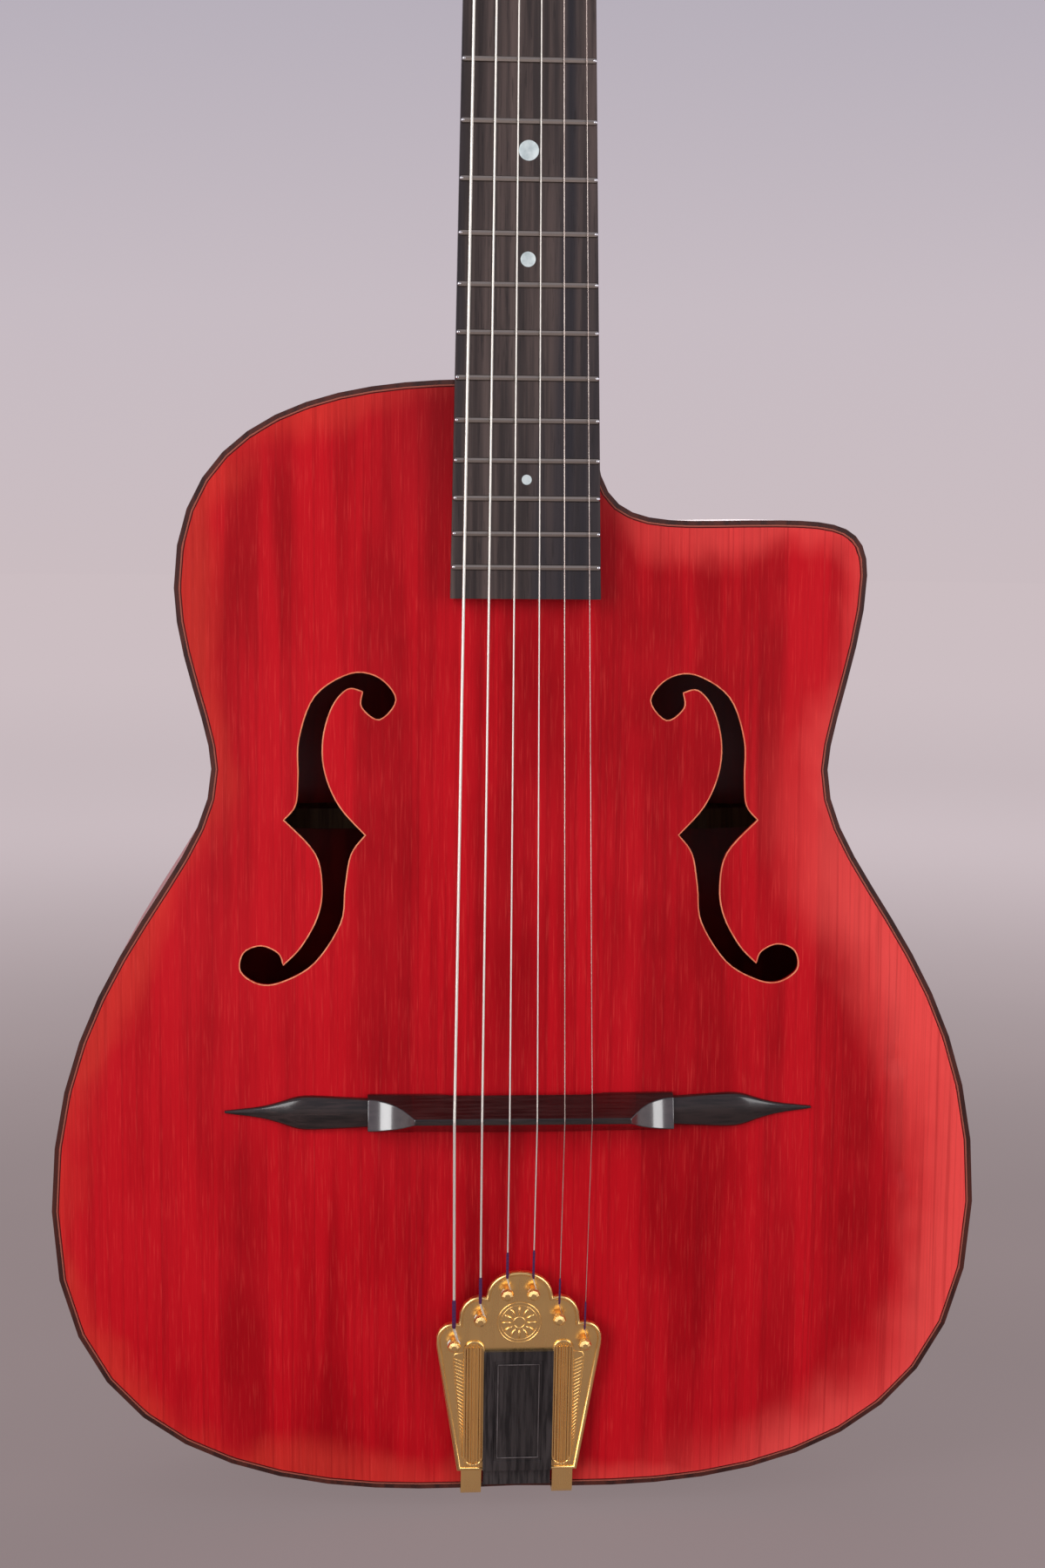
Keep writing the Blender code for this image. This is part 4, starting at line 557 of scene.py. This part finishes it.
# Painted highlight: pale ebony for beads along the edge of the frame sunk in the inlay.
EDGE_EBONY_PAINTED_HIGHLIGHT = wood("ebony_edge_painted_highlight", srgb(108, 100, 100), srgb(62, 56, 56), (300, 300, 60), 0.35, 0.5)
HEAD_EBONY = wood("head_ebony", srgb(34, 30, 30), srgb(14, 12, 13), (300, 60, 14), 0.34, 0.3)


def paint_nodes():
    slots = {row["node"]: row["material_slot"] for row in frame["record"]["subparts"]}
    for name, item in frame["nodes"].items():
        look = LOOKS[slots[name]]
        if name == "fingerboard":
            look = FINGERBOARD
        elif name in ("head_plate", "heel_cap"):
            look = HEAD_EBONY
        elif name in ("tailpiece_inlay", "tailpiece_pad"):
            look = LENGTHWISE_EBONY
        elif name.startswith("string_") and name[-1] in "3456" and "post" not in name:
            look = WOUND
        elif name.startswith("string_") and "post" not in name:
            look = PLAIN
        if item.material_slots:
            for holder in item.material_slots:
                holder.material = look
        else:
            item.data.materials.append(look)


# The top, with a fine dome and its distance from the rim on every point
TOP_CELL = 4 * MM


def fine_top():
    columns = round(LOWER_BOUT / TOP_CELL) + 1
    rows = round(BODY_LENGTH / TOP_CELL) + 1
    bm = bmesh.new()
    bmesh.ops.create_grid(bm, x_segments=columns, y_segments=rows, size=0.5)
    for vert in bm.verts:
        vert.co.x *= columns * TOP_CELL
        vert.co.y = vert.co.y * rows * TOP_CELL + BODY_LENGTH / 2
        vert.co.z = top_arch(vert.co.x, vert.co.y)
    mesh = bpy.data.meshes.new("domed_top")
    bm.to_mesh(mesh)
    bm.free()
    top = link("domed_top", mesh, BODY)
    body = top.modifiers.new("thickness", "SOLIDIFY")
    body.thickness = TOP_THICKNESS
    body.offset = -1
    hole = sound_hole()
    loops = [("INTERSECT", inset_path(BODY_OUTLINE, PLATE_INSET - 0.25 * MM)), ("DIFFERENCE", hole),
             ("DIFFERENCE", mirrored(hole)[::-1])]
    cutters = []
    for operation, loop in loops:
        cutter = prism("cutter", loop, -30 * MM, 30 * MM)
        step = top.modifiers.new("cut", "BOOLEAN")
        step.operation = operation
        step.solver = "EXACT"
        step.object = cutter
        cutters.append(cutter)
    bpy.context.view_layer.update()
    done = bpy.data.meshes.new_from_object(top.evaluated_get(bpy.context.evaluated_depsgraph_get()))
    top.modifiers.clear()
    top.data = done
    for cutter in cutters:
        bpy.data.objects.remove(cutter, do_unlink=True)
    edge = done.attributes.new("edge", "FLOAT", "POINT")
    edge.data.foreach_set("value", [edge_distance(v.co.x, v.co.y) for v in done.vertices])
    done.transform(BODY)
    top.matrix_world = Matrix.Identity(4)
    done.name = "domed_top"
    done.materials.clear()
    done.materials.append(LOOKS["red_spruce"])
    done.shade_smooth()
    done.set_sharp_from_angle(angle=math.radians(30))
    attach(top, GUITAR)
    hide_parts("soundboard")
    for side, loop in (("treble", hole), ("bass", mirrored(hole))):
        rim = [BODY @ Vector((x, y, top_arch(x, y) - 0.1 * MM)) for x, y in loop]
        wire = bmesh.new()
        tube_mesh(wire, rim, 0.3 * MM, 6, True)
        mesh_object("hole_edge_" + side, wire, HOLE_EDGE)


def prism(name, loop, low, high):
    """A closed upright prism of a plane loop in the body's frame."""
    curve = bpy.data.curves.new(name, "CURVE")
    curve.dimensions = "2D"
    curve.fill_mode = "BOTH"
    curve.extrude = (high - low) / 2
    spline = curve.splines.new("POLY")
    spline.points.add(len(loop) - 1)
    for point, (x, y) in zip(spline.points, loop):
        point.co = (x, y, 0, 1)
    spline.use_cyclic_u = True
    item = link(name, curve, BODY @ Matrix.Translation((0, 0, (low + high) / 2)))
    bpy.context.view_layer.update()
    mesh = bpy.data.meshes.new_from_object(item.evaluated_get(bpy.context.evaluated_depsgraph_get()))
    place = item.matrix_world.copy()
    bpy.data.objects.remove(item, do_unlink=True)
    bm = bmesh.new()
    bm.from_mesh(mesh)
    bmesh.ops.remove_doubles(bm, verts=bm.verts, dist=0.000001)
    bmesh.ops.recalc_face_normals(bm, faces=bm.faces)
    bm.to_mesh(mesh)
    bm.free()
    return link(name, mesh, place)


# Fingerboard trim
DOTS = {5: 8 * MM, 7: 8 * MM, 10: 8 * MM, 12: 6 * MM, 17: 4 * MM}


def fret_distance(number):
    return SCALE_LENGTH * 2 ** (-number / 12)


def position_dots():
    for number, diameter in DOTS.items():
        middle = (fret_distance(number) + fret_distance(number - 1)) / 2
        bm = bmesh.new()
        bmesh.ops.create_cone(bm, cap_ends=True, segments=32, radius1=diameter / 2, radius2=diameter / 2,
                              depth=0.1 * MM, matrix=NECK @ Matrix.Translation((0, middle, -FRET_HEIGHT)))
        mesh_object("position_dot_" + str(number), bm, PEARL_DOT)


def fret_ends():
    """The bright round end of each fret at the board's two edges."""
    bm = bmesh.new()
    for number in range(20):
        distance = fret_distance(number)
        half = fingerboard_half_width(distance) - 0.9 * MM
        for side in (-1, 1):
            place = NECK @ Matrix.Translation((side * half, distance, -FRET_HEIGHT * 0.75))
            bmesh.ops.create_uvsphere(bm, u_segments=10, v_segments=6, radius=0.9 * MM, matrix=place)
    mesh_object("fret_ends", bm, LOOKS["steel"], smooth_angle=80)


# Strings' wraps
STRING_SPREAD = 28 * MM
WRAP_LENGTHS = (13 * MM, 12 * MM, 12 * MM, 13 * MM, 12 * MM, 13 * MM)


def silk_wraps():
    for number in range(6):
        side = -1 if number < 3 else 1
        pin = PIN_PLACES[number if number < 3 else 5 - number]
        radius = STRING_DIAMETERS[number] / 2
        height = TAILPIECE_THICKNESS + 1.2 * MM
        reach = 3.2 * (1.3 * MM + radius + 0.32 * MM)
        start = TAIL @ Vector((side * pin[0], pin[1] + reach, height + 0.3 * MM))
        share = -1 + 2 * number / 5
        end = NECK @ Vector((share * STRING_SPREAD, 0, ACTION_DROP))
        along = (end - start).normalized()
        wrap = radius + 0.25 * MM
        bm = bmesh.new()
        length = WRAP_LENGTHS[number]
        knots = [start + along * d for d in (0.2 * MM, 1 * MM, length - MM, length)]
        tube_mesh(bm, knots, [wrap * 0.8, wrap, wrap, radius + 0.05 * MM], 10)
        mesh_object("silk_wrap_" + str(6 - number), bm, SILK)


# Tailpiece trim
def tailpiece_outline():
    right = [(25.2 * MM, 9.3 * MM), (34.4 * MM, 67 * MM)]
    right += bezier(right[-1], (35.6 * MM, 75 * MM), (30 * MM, 78 * MM), (25.2 * MM, 76.8 * MM), 9)
    right += bezier(right[-1], (26 * MM, 86 * MM), (19 * MM, 90.5 * MM), (13.9 * MM, 88.4 * MM), 9)
    right += bezier(right[-1], (13.5 * MM, 96 * MM), (7 * MM, 99.7 * MM), (0, 99.7 * MM), 10)
    return right + mirrored(right[:-1])[::-1]


def tailpiece_trim():
    brass = LOOKS["brass"]
    loop = inset_path(tailpiece_outline(), 0.9 * MM)
    rim = [TAIL @ Vector((x, y, TAILPIECE_THICKNESS)) for x, y in loop]
    bm = bmesh.new()
    tube_mesh(bm, rim, 0.85 * MM, 10, True)
    mesh_object("tailpiece_rim", bm, brass, smooth_angle=80)
    bm = bmesh.new()
    for side in (-1, 1):
        inner, outer = 23.1 * MM, 27 * MM
        for i in range(26):
            y = (20 + 1.6 * i) * MM
            reach = inner + (outer - inner) * (y - 12 * MM) / (50 * MM)
            a = TAIL @ Vector((side * inner, y - 0.8 * MM, TAILPIECE_THICKNESS))
            b = TAIL @ Vector((side * reach, y + 0.8 * MM, TAILPIECE_THICKNESS))
            tube_mesh(bm, [a, b], 0.24 * MM, 6)
        corners = ((23.4, 16), (27.3, 61), (26.6, 63), (23.1, 63.5))
        edge = [TAIL @ Vector((side * x * MM, y * MM, TAILPIECE_THICKNESS)) for x, y in corners]
        tube_mesh(bm, edge, 0.25 * MM, 6)
    mesh_object("tailpiece_hatching", bm, brass, smooth_angle=80)
    bm = bmesh.new()
    centre = Vector((0, 76.8 * MM, TAILPIECE_THICKNESS))
    for radius, wire in ((9 * MM, 0.32 * MM), (7.7 * MM, 0.2 * MM), (2.4 * MM, 0.3 * MM)):
        ring = [TAIL @ (centre + Vector((radius * math.cos(t), radius * math.sin(t), 0)))
                for t in [2 * math.pi * k / 48 for k in range(48)]]
        tube_mesh(bm, ring, wire, 6, True)
    for petal in range(12):
        turn = 2 * math.pi * petal / 12
        knots = []
        for share in (0.36, 0.5, 0.66, 0.8):
            out = Vector((math.cos(turn), math.sin(turn), 0)) * 9 * MM * share
            knots.append(TAIL @ (centre + out))
        tube_mesh(bm, knots, [0.15 * MM, 0.55 * MM, 0.6 * MM, 0.15 * MM], 6)
    mesh_object("tailpiece_rosette", bm, brass, smooth_angle=80)


def panel_trim():
    """The raised rims of the fluted panels, and pale beads round the frame sunk in the dark inlay, a painted
    highlight along its edge.
    """
    bm = bmesh.new()
    for side in (-1, 1):
        middle, half, low, high = side * 18.6 * MM, 3.9 * MM, 12 * MM, 68.5 * MM
        loop = [(middle + half * math.cos(t), high - half + half * math.sin(t))
                for t in [math.pi * k / 14 for k in range(15)]]
        loop += [(middle + half * math.cos(t), low + half + half * math.sin(t))
                 for t in [math.pi + math.pi * k / 14 for k in range(15)]]
        rim = [TAIL @ Vector((x, y, TAILPIECE_THICKNESS + 0.3 * MM)) for x, y in loop]
        tube_mesh(bm, rim, 0.55 * MM, 8, True)
        for i in range(5):
            x = middle + (i - 2) * 1.3 * MM
            ends = [TAIL @ Vector((x, y, TAILPIECE_THICKNESS + 0.25 * MM))
                    for y in (low + 1.5 * MM, high - 1.5 * MM)]
            tube_mesh(bm, ends, 0.42 * MM, 8)
    mesh_object("tailpiece_panels", bm, LOOKS["brass"], smooth_angle=80)
    # Painted highlight: pale beads along the edge of the sunk frame.
    bm = bmesh.new()
    top = TAILPIECE_THICKNESS + 1.62 * MM
    corners = ((-8.6 * MM, 15.8 * MM), (8.6 * MM, 15.8 * MM), (8.6 * MM, 58.4 * MM), (-8.6 * MM, 58.4 * MM))
    for a, b in zip(corners, corners[1:] + corners[:1]):
        tube_mesh(bm, [TAIL @ Vector((*a, top)), TAIL @ Vector((*b, top))], 0.22 * MM, 6)
    mesh_object("inlay_frame", bm, EDGE_EBONY_PAINTED_HIGHLIGHT)


# Bridge
BRIDGE_HALF = 63 * MM
BRIDGE_WIDTH = 15.4 * MM
BRIDGE_CREST_WIDTH = 2.2 * MM
BRIDGE_SCOOP = 19 * MM
BRIDGE_END_HEIGHT = 6.5 * MM
BRIDGE_ARCH_HALF = 34 * MM
BRIDGE_ARCH_HEIGHT = 3 * MM
BRIDGE_SHOULDER = 3 * MM
SCOOP_TILT = 0.25
SEAT_GAP = 0.1 * MM
MOUSTACHE_LENGTH = 58.4 * MM
MOUSTACHE_WIDTH = 14 * MM
MOUSTACHE_HEIGHT = 5 * MM
MOUSTACHE_SHAPE = ((0, 0.84), (0.2, 0.93), (0.4, 1.0), (0.5, 0.92), (0.6, 0.66), (0.7, 0.42), (0.8, 0.27),
                   (0.9, 0.17), (1.0, 0.07))


def loft(bm, rings):
    rows = [[bm.verts.new(BODY @ Vector(point)) for point in ring] for ring in rings]
    count = len(rows[0])
    for a, b in zip(rows, rows[1:]):
        for k in range(count):
            m = (k + 1) % count
            bm.faces.new((a[k], a[m], b[m], b[k]))
    bm.faces.new(rows[0][::-1])
    bm.faces.new(rows[-1])


def fine_bridge():
    """A roof-shaped bridge on two feet, its ends scooped out and polished, the scoops' front faces paler as a
    painted sheen.
    """
    shallow = BRIDGE_HALF - BRIDGE_SCOOP
    stations = [shallow + BRIDGE_SCOOP * k / 16 for k in range(17)]
    stations += [BRIDGE_ARCH_HALF - 8 * MM * k / 8 for k in range(9)]
    stations = sorted({round(x, 7) for x in stations} | {round(-x, 7) for x in stations} | {0.0})
    rings = []
    for x in stations:
        under = min(max((BRIDGE_ARCH_HALF - abs(x)) / (8 * MM), 0), 1)
        relief = BRIDGE_ARCH_HEIGHT * math.sin(under * math.pi / 2)
        floor = top_arch(x, BRIDGE_Y) + SEAT_GAP + relief
        shoulder = floor - relief + max(BRIDGE_SHOULDER, relief + MM)
        crest = STRING_HEIGHT - 0.62 * MM + 0.43 * MM * min(max(x / (2 * STRING_SPREAD) + 0.5, 0), 1)
        share = min(max((abs(x) - shallow) / BRIDGE_SCOOP, 0), 1)
        end = floor + BRIDGE_END_HEIGHT
        height = end + (crest - end) * (1 - share) ** 2.2
        wide, slim = BRIDGE_WIDTH / 2, BRIDGE_CREST_WIDTH / 2
        flat = wide + (slim - wide) * (height - shoulder) / (crest - shoulder)
        tilt = SCOOP_TILT * flat * min(share * 4, 1)
        ring = [(wide, floor), (wide, shoulder - tilt * 0.4), (flat, height - tilt), (-flat, height + tilt),
                (-wide, shoulder), (-wide, floor)]
        rings.append([(x, BRIDGE_Y + y, z) for y, z in ring])
    bm = bmesh.new()
    loft(bm, rings)
    piece = mesh_object("carved_bridge", bm, BRIDGE_EBONY, smooth_angle=25)
    # The scoops' faces that turn to the front take the paler ebony, a painted sheen.
    piece.data.materials.append(POLISHED_EBONY_PAINTED_SHEEN)
    for face in piece.data.polygons:
        if abs(face.center.x) > shallow and face.normal.y < -0.6 and face.normal.z > 0 and face.normal.z < 0.5:
            face.material_index = 1
    round_edges(piece, 0.35 * MM)
    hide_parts("bridge")
    for side, label in ((-1, "bass"), (1, "treble")):
        rings = []
        for share, width in smooth_run(MOUSTACHE_SHAPE, 4):
            x = side * (BRIDGE_HALF + SEAT_GAP + share * MOUSTACHE_LENGTH)
            half = MOUSTACHE_WIDTH / 2 * width
            floor = top_arch(x, BRIDGE_Y) + SEAT_GAP
            tall = MOUSTACHE_HEIGHT * (0.3 + 0.7 * width) * (1 - 0.25 * share)
            ring = [(half, floor)]
            ring += [(half * math.cos(a), floor + tall * (0.45 + 0.55 * math.sin(a)))
                     for a in [math.pi * k / 10 for k in range(11)]]
            ring.append((-half, floor))
            rings.append([(x, BRIDGE_Y + y, z) for y, z in ring])
        bm = bmesh.new()
        loft(bm, rings)
        piece = mesh_object("carved_moustache_" + label, bm, BRIDGE_EBONY, smooth_angle=50)
        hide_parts("moustache_" + label)


def round_edges(piece, width):
    step = piece.modifiers.new("soft_edges", "BEVEL")
    step.width = width
    step.segments = 2
    step.limit_method = "ANGLE"
    step.angle_limit = math.radians(25)


def screws():
    """Round-headed screws on the tailpiece's legs and the tuners' side plates."""
    tipped = Matrix.Rotation(math.pi / 2, 4, "X")
    places = [BODY @ Matrix.Translation((side * LEG_MIDDLE_X, LEG_FACE_Y, -drop)) @ tipped
              for side in (-1, 1) for drop in (14 * MM, 28 * MM)]
    for side in (-1, 1):
        for y in (50 * MM, 85 * MM, 118.5 * MM):
            spot = HEAD @ Matrix.Translation((side * 33.35 * MM, y, -7.6 * MM))
            places.append(spot @ Matrix.Rotation(side * math.pi / 2, 4, "Y"))
    bm = bmesh.new()
    for place in places:
        turned = place @ Matrix.Diagonal((1, 1, 0.5, 1))
        bmesh.ops.create_uvsphere(bm, u_segments=14, v_segments=8, radius=2.3 * MM, matrix=turned)
    mesh_object("screw_heads", bm, LOOKS["brass"], smooth_angle=80)


paint_nodes()
fine_top()
position_dots()
fret_ends()
silk_wraps()
tailpiece_trim()
panel_trim()
fine_bridge()
screws()


# Camera, backdrop and light
def add_camera():
    yaw, pitch, roll = math.radians(3.961), math.radians(6.791), math.radians(0.521)
    level = math.cos(yaw)
    view = Vector((math.sin(yaw), math.cos(pitch) * level, -math.sin(pitch) * level)).normalized()
    right = view.cross(Vector((0, 0, 1))).normalized()
    up = right.cross(view)
    turned_right = right * math.cos(roll) + up * math.sin(roll)
    turned_up = up * math.cos(roll) - right * math.sin(roll)
    data = bpy.data.cameras.new("camera")
    data.lens = 52.66
    data.sensor_width = 36
    camera = link("camera", data)
    rows = Matrix((turned_right, turned_up, -view)).transposed().to_4x4()
    camera.matrix_world = Matrix.Translation((-64.7 * MM, -978 * MM, 410.7 * MM)) @ rows
    bpy.context.scene.camera = camera


def add_world():
    """A mauve backdrop for the camera, darker towards the bottom and a little darker towards the top as painted
    shade, and a soft neutral light for everything else.
    """
    world = bpy.data.worlds.new("studio")
    world.use_nodes = True
    bpy.context.scene.world = world
    tree = world.node_tree
    tree.nodes.clear()
    out = tree.nodes.new("ShaderNodeOutputWorld")
    direction = tree.nodes.new("ShaderNodeTexCoord")
    parts = tree.nodes.new("ShaderNodeSeparateXYZ")
    tree.links.new(direction.outputs["Generated"], parts.inputs[0])
    ramp = tree.nodes.new("ShaderNodeValToRGB")
    spread = tree.nodes.new("ShaderNodeMapRange")
    spread.inputs["From Min"].default_value = -0.45
    spread.inputs["From Max"].default_value = 0.22
    tree.links.new(parts.outputs["Z"], spread.inputs["Value"])
    tree.links.new(spread.outputs["Result"], ramp.inputs["Fac"])
    # Painted shade on the backdrop: darker towards the bottom and a little darker towards the top.
    stops = ((0.0, (134, 119, 120)), (0.16, (146, 131, 132)), (0.34, (176, 160, 163)),
             (0.62, (203, 189, 193)), (0.8, (199, 188, 195)), (1.0, (182, 175, 186)))
    ramp.color_ramp.elements[0].position = stops[0][0]
    ramp.color_ramp.elements[0].color = srgb(*stops[0][1])
    ramp.color_ramp.elements[1].position = stops[-1][0]
    ramp.color_ramp.elements[1].color = srgb(*stops[-1][1])
    for position, colour in stops[1:-1]:
        stop = ramp.color_ramp.elements.new(position)
        stop.color = srgb(*colour)
    seen = tree.nodes.new("ShaderNodeBackground")
    tree.links.new(ramp.outputs["Color"], seen.inputs["Color"])
    fill = tree.nodes.new("ShaderNodeBackground")
    fill.inputs["Color"].default_value = (0.92, 0.93, 1.0, 1.0)
    fill.inputs["Strength"].default_value = 0.42
    rays = tree.nodes.new("ShaderNodeLightPath")
    choose = tree.nodes.new("ShaderNodeMixShader")
    shown = tree.nodes.new("ShaderNodeMath")
    shown.operation = "MAXIMUM"
    tree.links.new(rays.outputs["Is Camera Ray"], shown.inputs[0])
    tree.links.new(rays.outputs["Is Glossy Ray"], shown.inputs[1])
    tree.links.new(shown.outputs[0], choose.inputs[0])
    tree.links.new(fill.outputs[0], choose.inputs[1])
    tree.links.new(seen.outputs[0], choose.inputs[2])
    tree.links.new(choose.outputs[0], out.inputs["Surface"])


FLOOR_Z = -11.3 * MM
FLOOR_RADIUS = 14.0


def add_floor():
    """A floor darker near the guitar as painted shade, fading into the backdrop's colour far away."""
    bm = bmesh.new()
    bmesh.ops.create_circle(bm, cap_ends=True, segments=96, radius=FLOOR_RADIUS,
                            matrix=Matrix.Translation((0, 0, FLOOR_Z)))
    s = Shader("backdrop_paper")
    soft = s.noise((3, 3, 3), 2.0, 0.5)
    # Painted shade: the floor darker near the guitar than far away.
    near_floor_painted_shade = s.mix(s.band(soft, 0.3, 0.7), srgb(146, 132, 133), srgb(150, 135, 136))
    length = s.node("ShaderNodeVectorMath", operation="LENGTH")
    s.feed(length.inputs[0], s.place())
    colour = s.mix(s.band(length.outputs["Value"], 0.25, 2.2), near_floor_painted_shade, srgb(204, 190, 194))
    s.finish(colour, 0.9, specular=0.1)
    glow = s.node("ShaderNodeEmission")
    s.feed(glow.inputs["Color"], colour)
    share = s.node("ShaderNodeMixShader")
    rays = s.node("ShaderNodeLightPath")
    shown = s.math("MAXIMUM", rays.outputs["Is Camera Ray"], rays.outputs["Is Glossy Ray"])
    seen = s.math("MULTIPLY", shown, s.band(length.outputs["Value"], 0.8, 5.0, 0.8, 1.0))
    s.feed(share.inputs[0], seen)
    s.tree.links.new(s.bsdf.outputs[0], share.inputs[1])
    s.tree.links.new(glow.outputs[0], share.inputs[2])
    out = s.tree.nodes["Material Output"]
    s.tree.links.new(share.outputs[0], out.inputs["Surface"])
    mesh_object("floor", bm, s.material, None)


def add_light(name, place, aim, size, power):
    data = bpy.data.lights.new(name, "AREA")
    data.shape = "RECTANGLE"
    data.size, data.size_y = size
    data.energy = power
    lamp = link(name, data)
    lamp.location = place
    lamp.rotation_mode = "QUATERNION"
    lamp.rotation_quaternion = (Vector(aim) - Vector(place)).to_track_quat("-Z", "Y")


add_camera()
add_world()
add_floor()
add_light("left_softbox", (-1.5, -1.5, 0.85), (0, 0, 0.25), (1.0, 1.9), 33)
add_light("right_softbox", (1.6, -1.3, 0.65), (0, 0, 0.25), (0.9, 1.9), 23)
add_light("back_softbox", (0.5, 2.2, 1.4), (0, 0, 0.4), (1.2, 1.2), 20)
bpy.context.scene.view_settings.view_transform = "Standard"
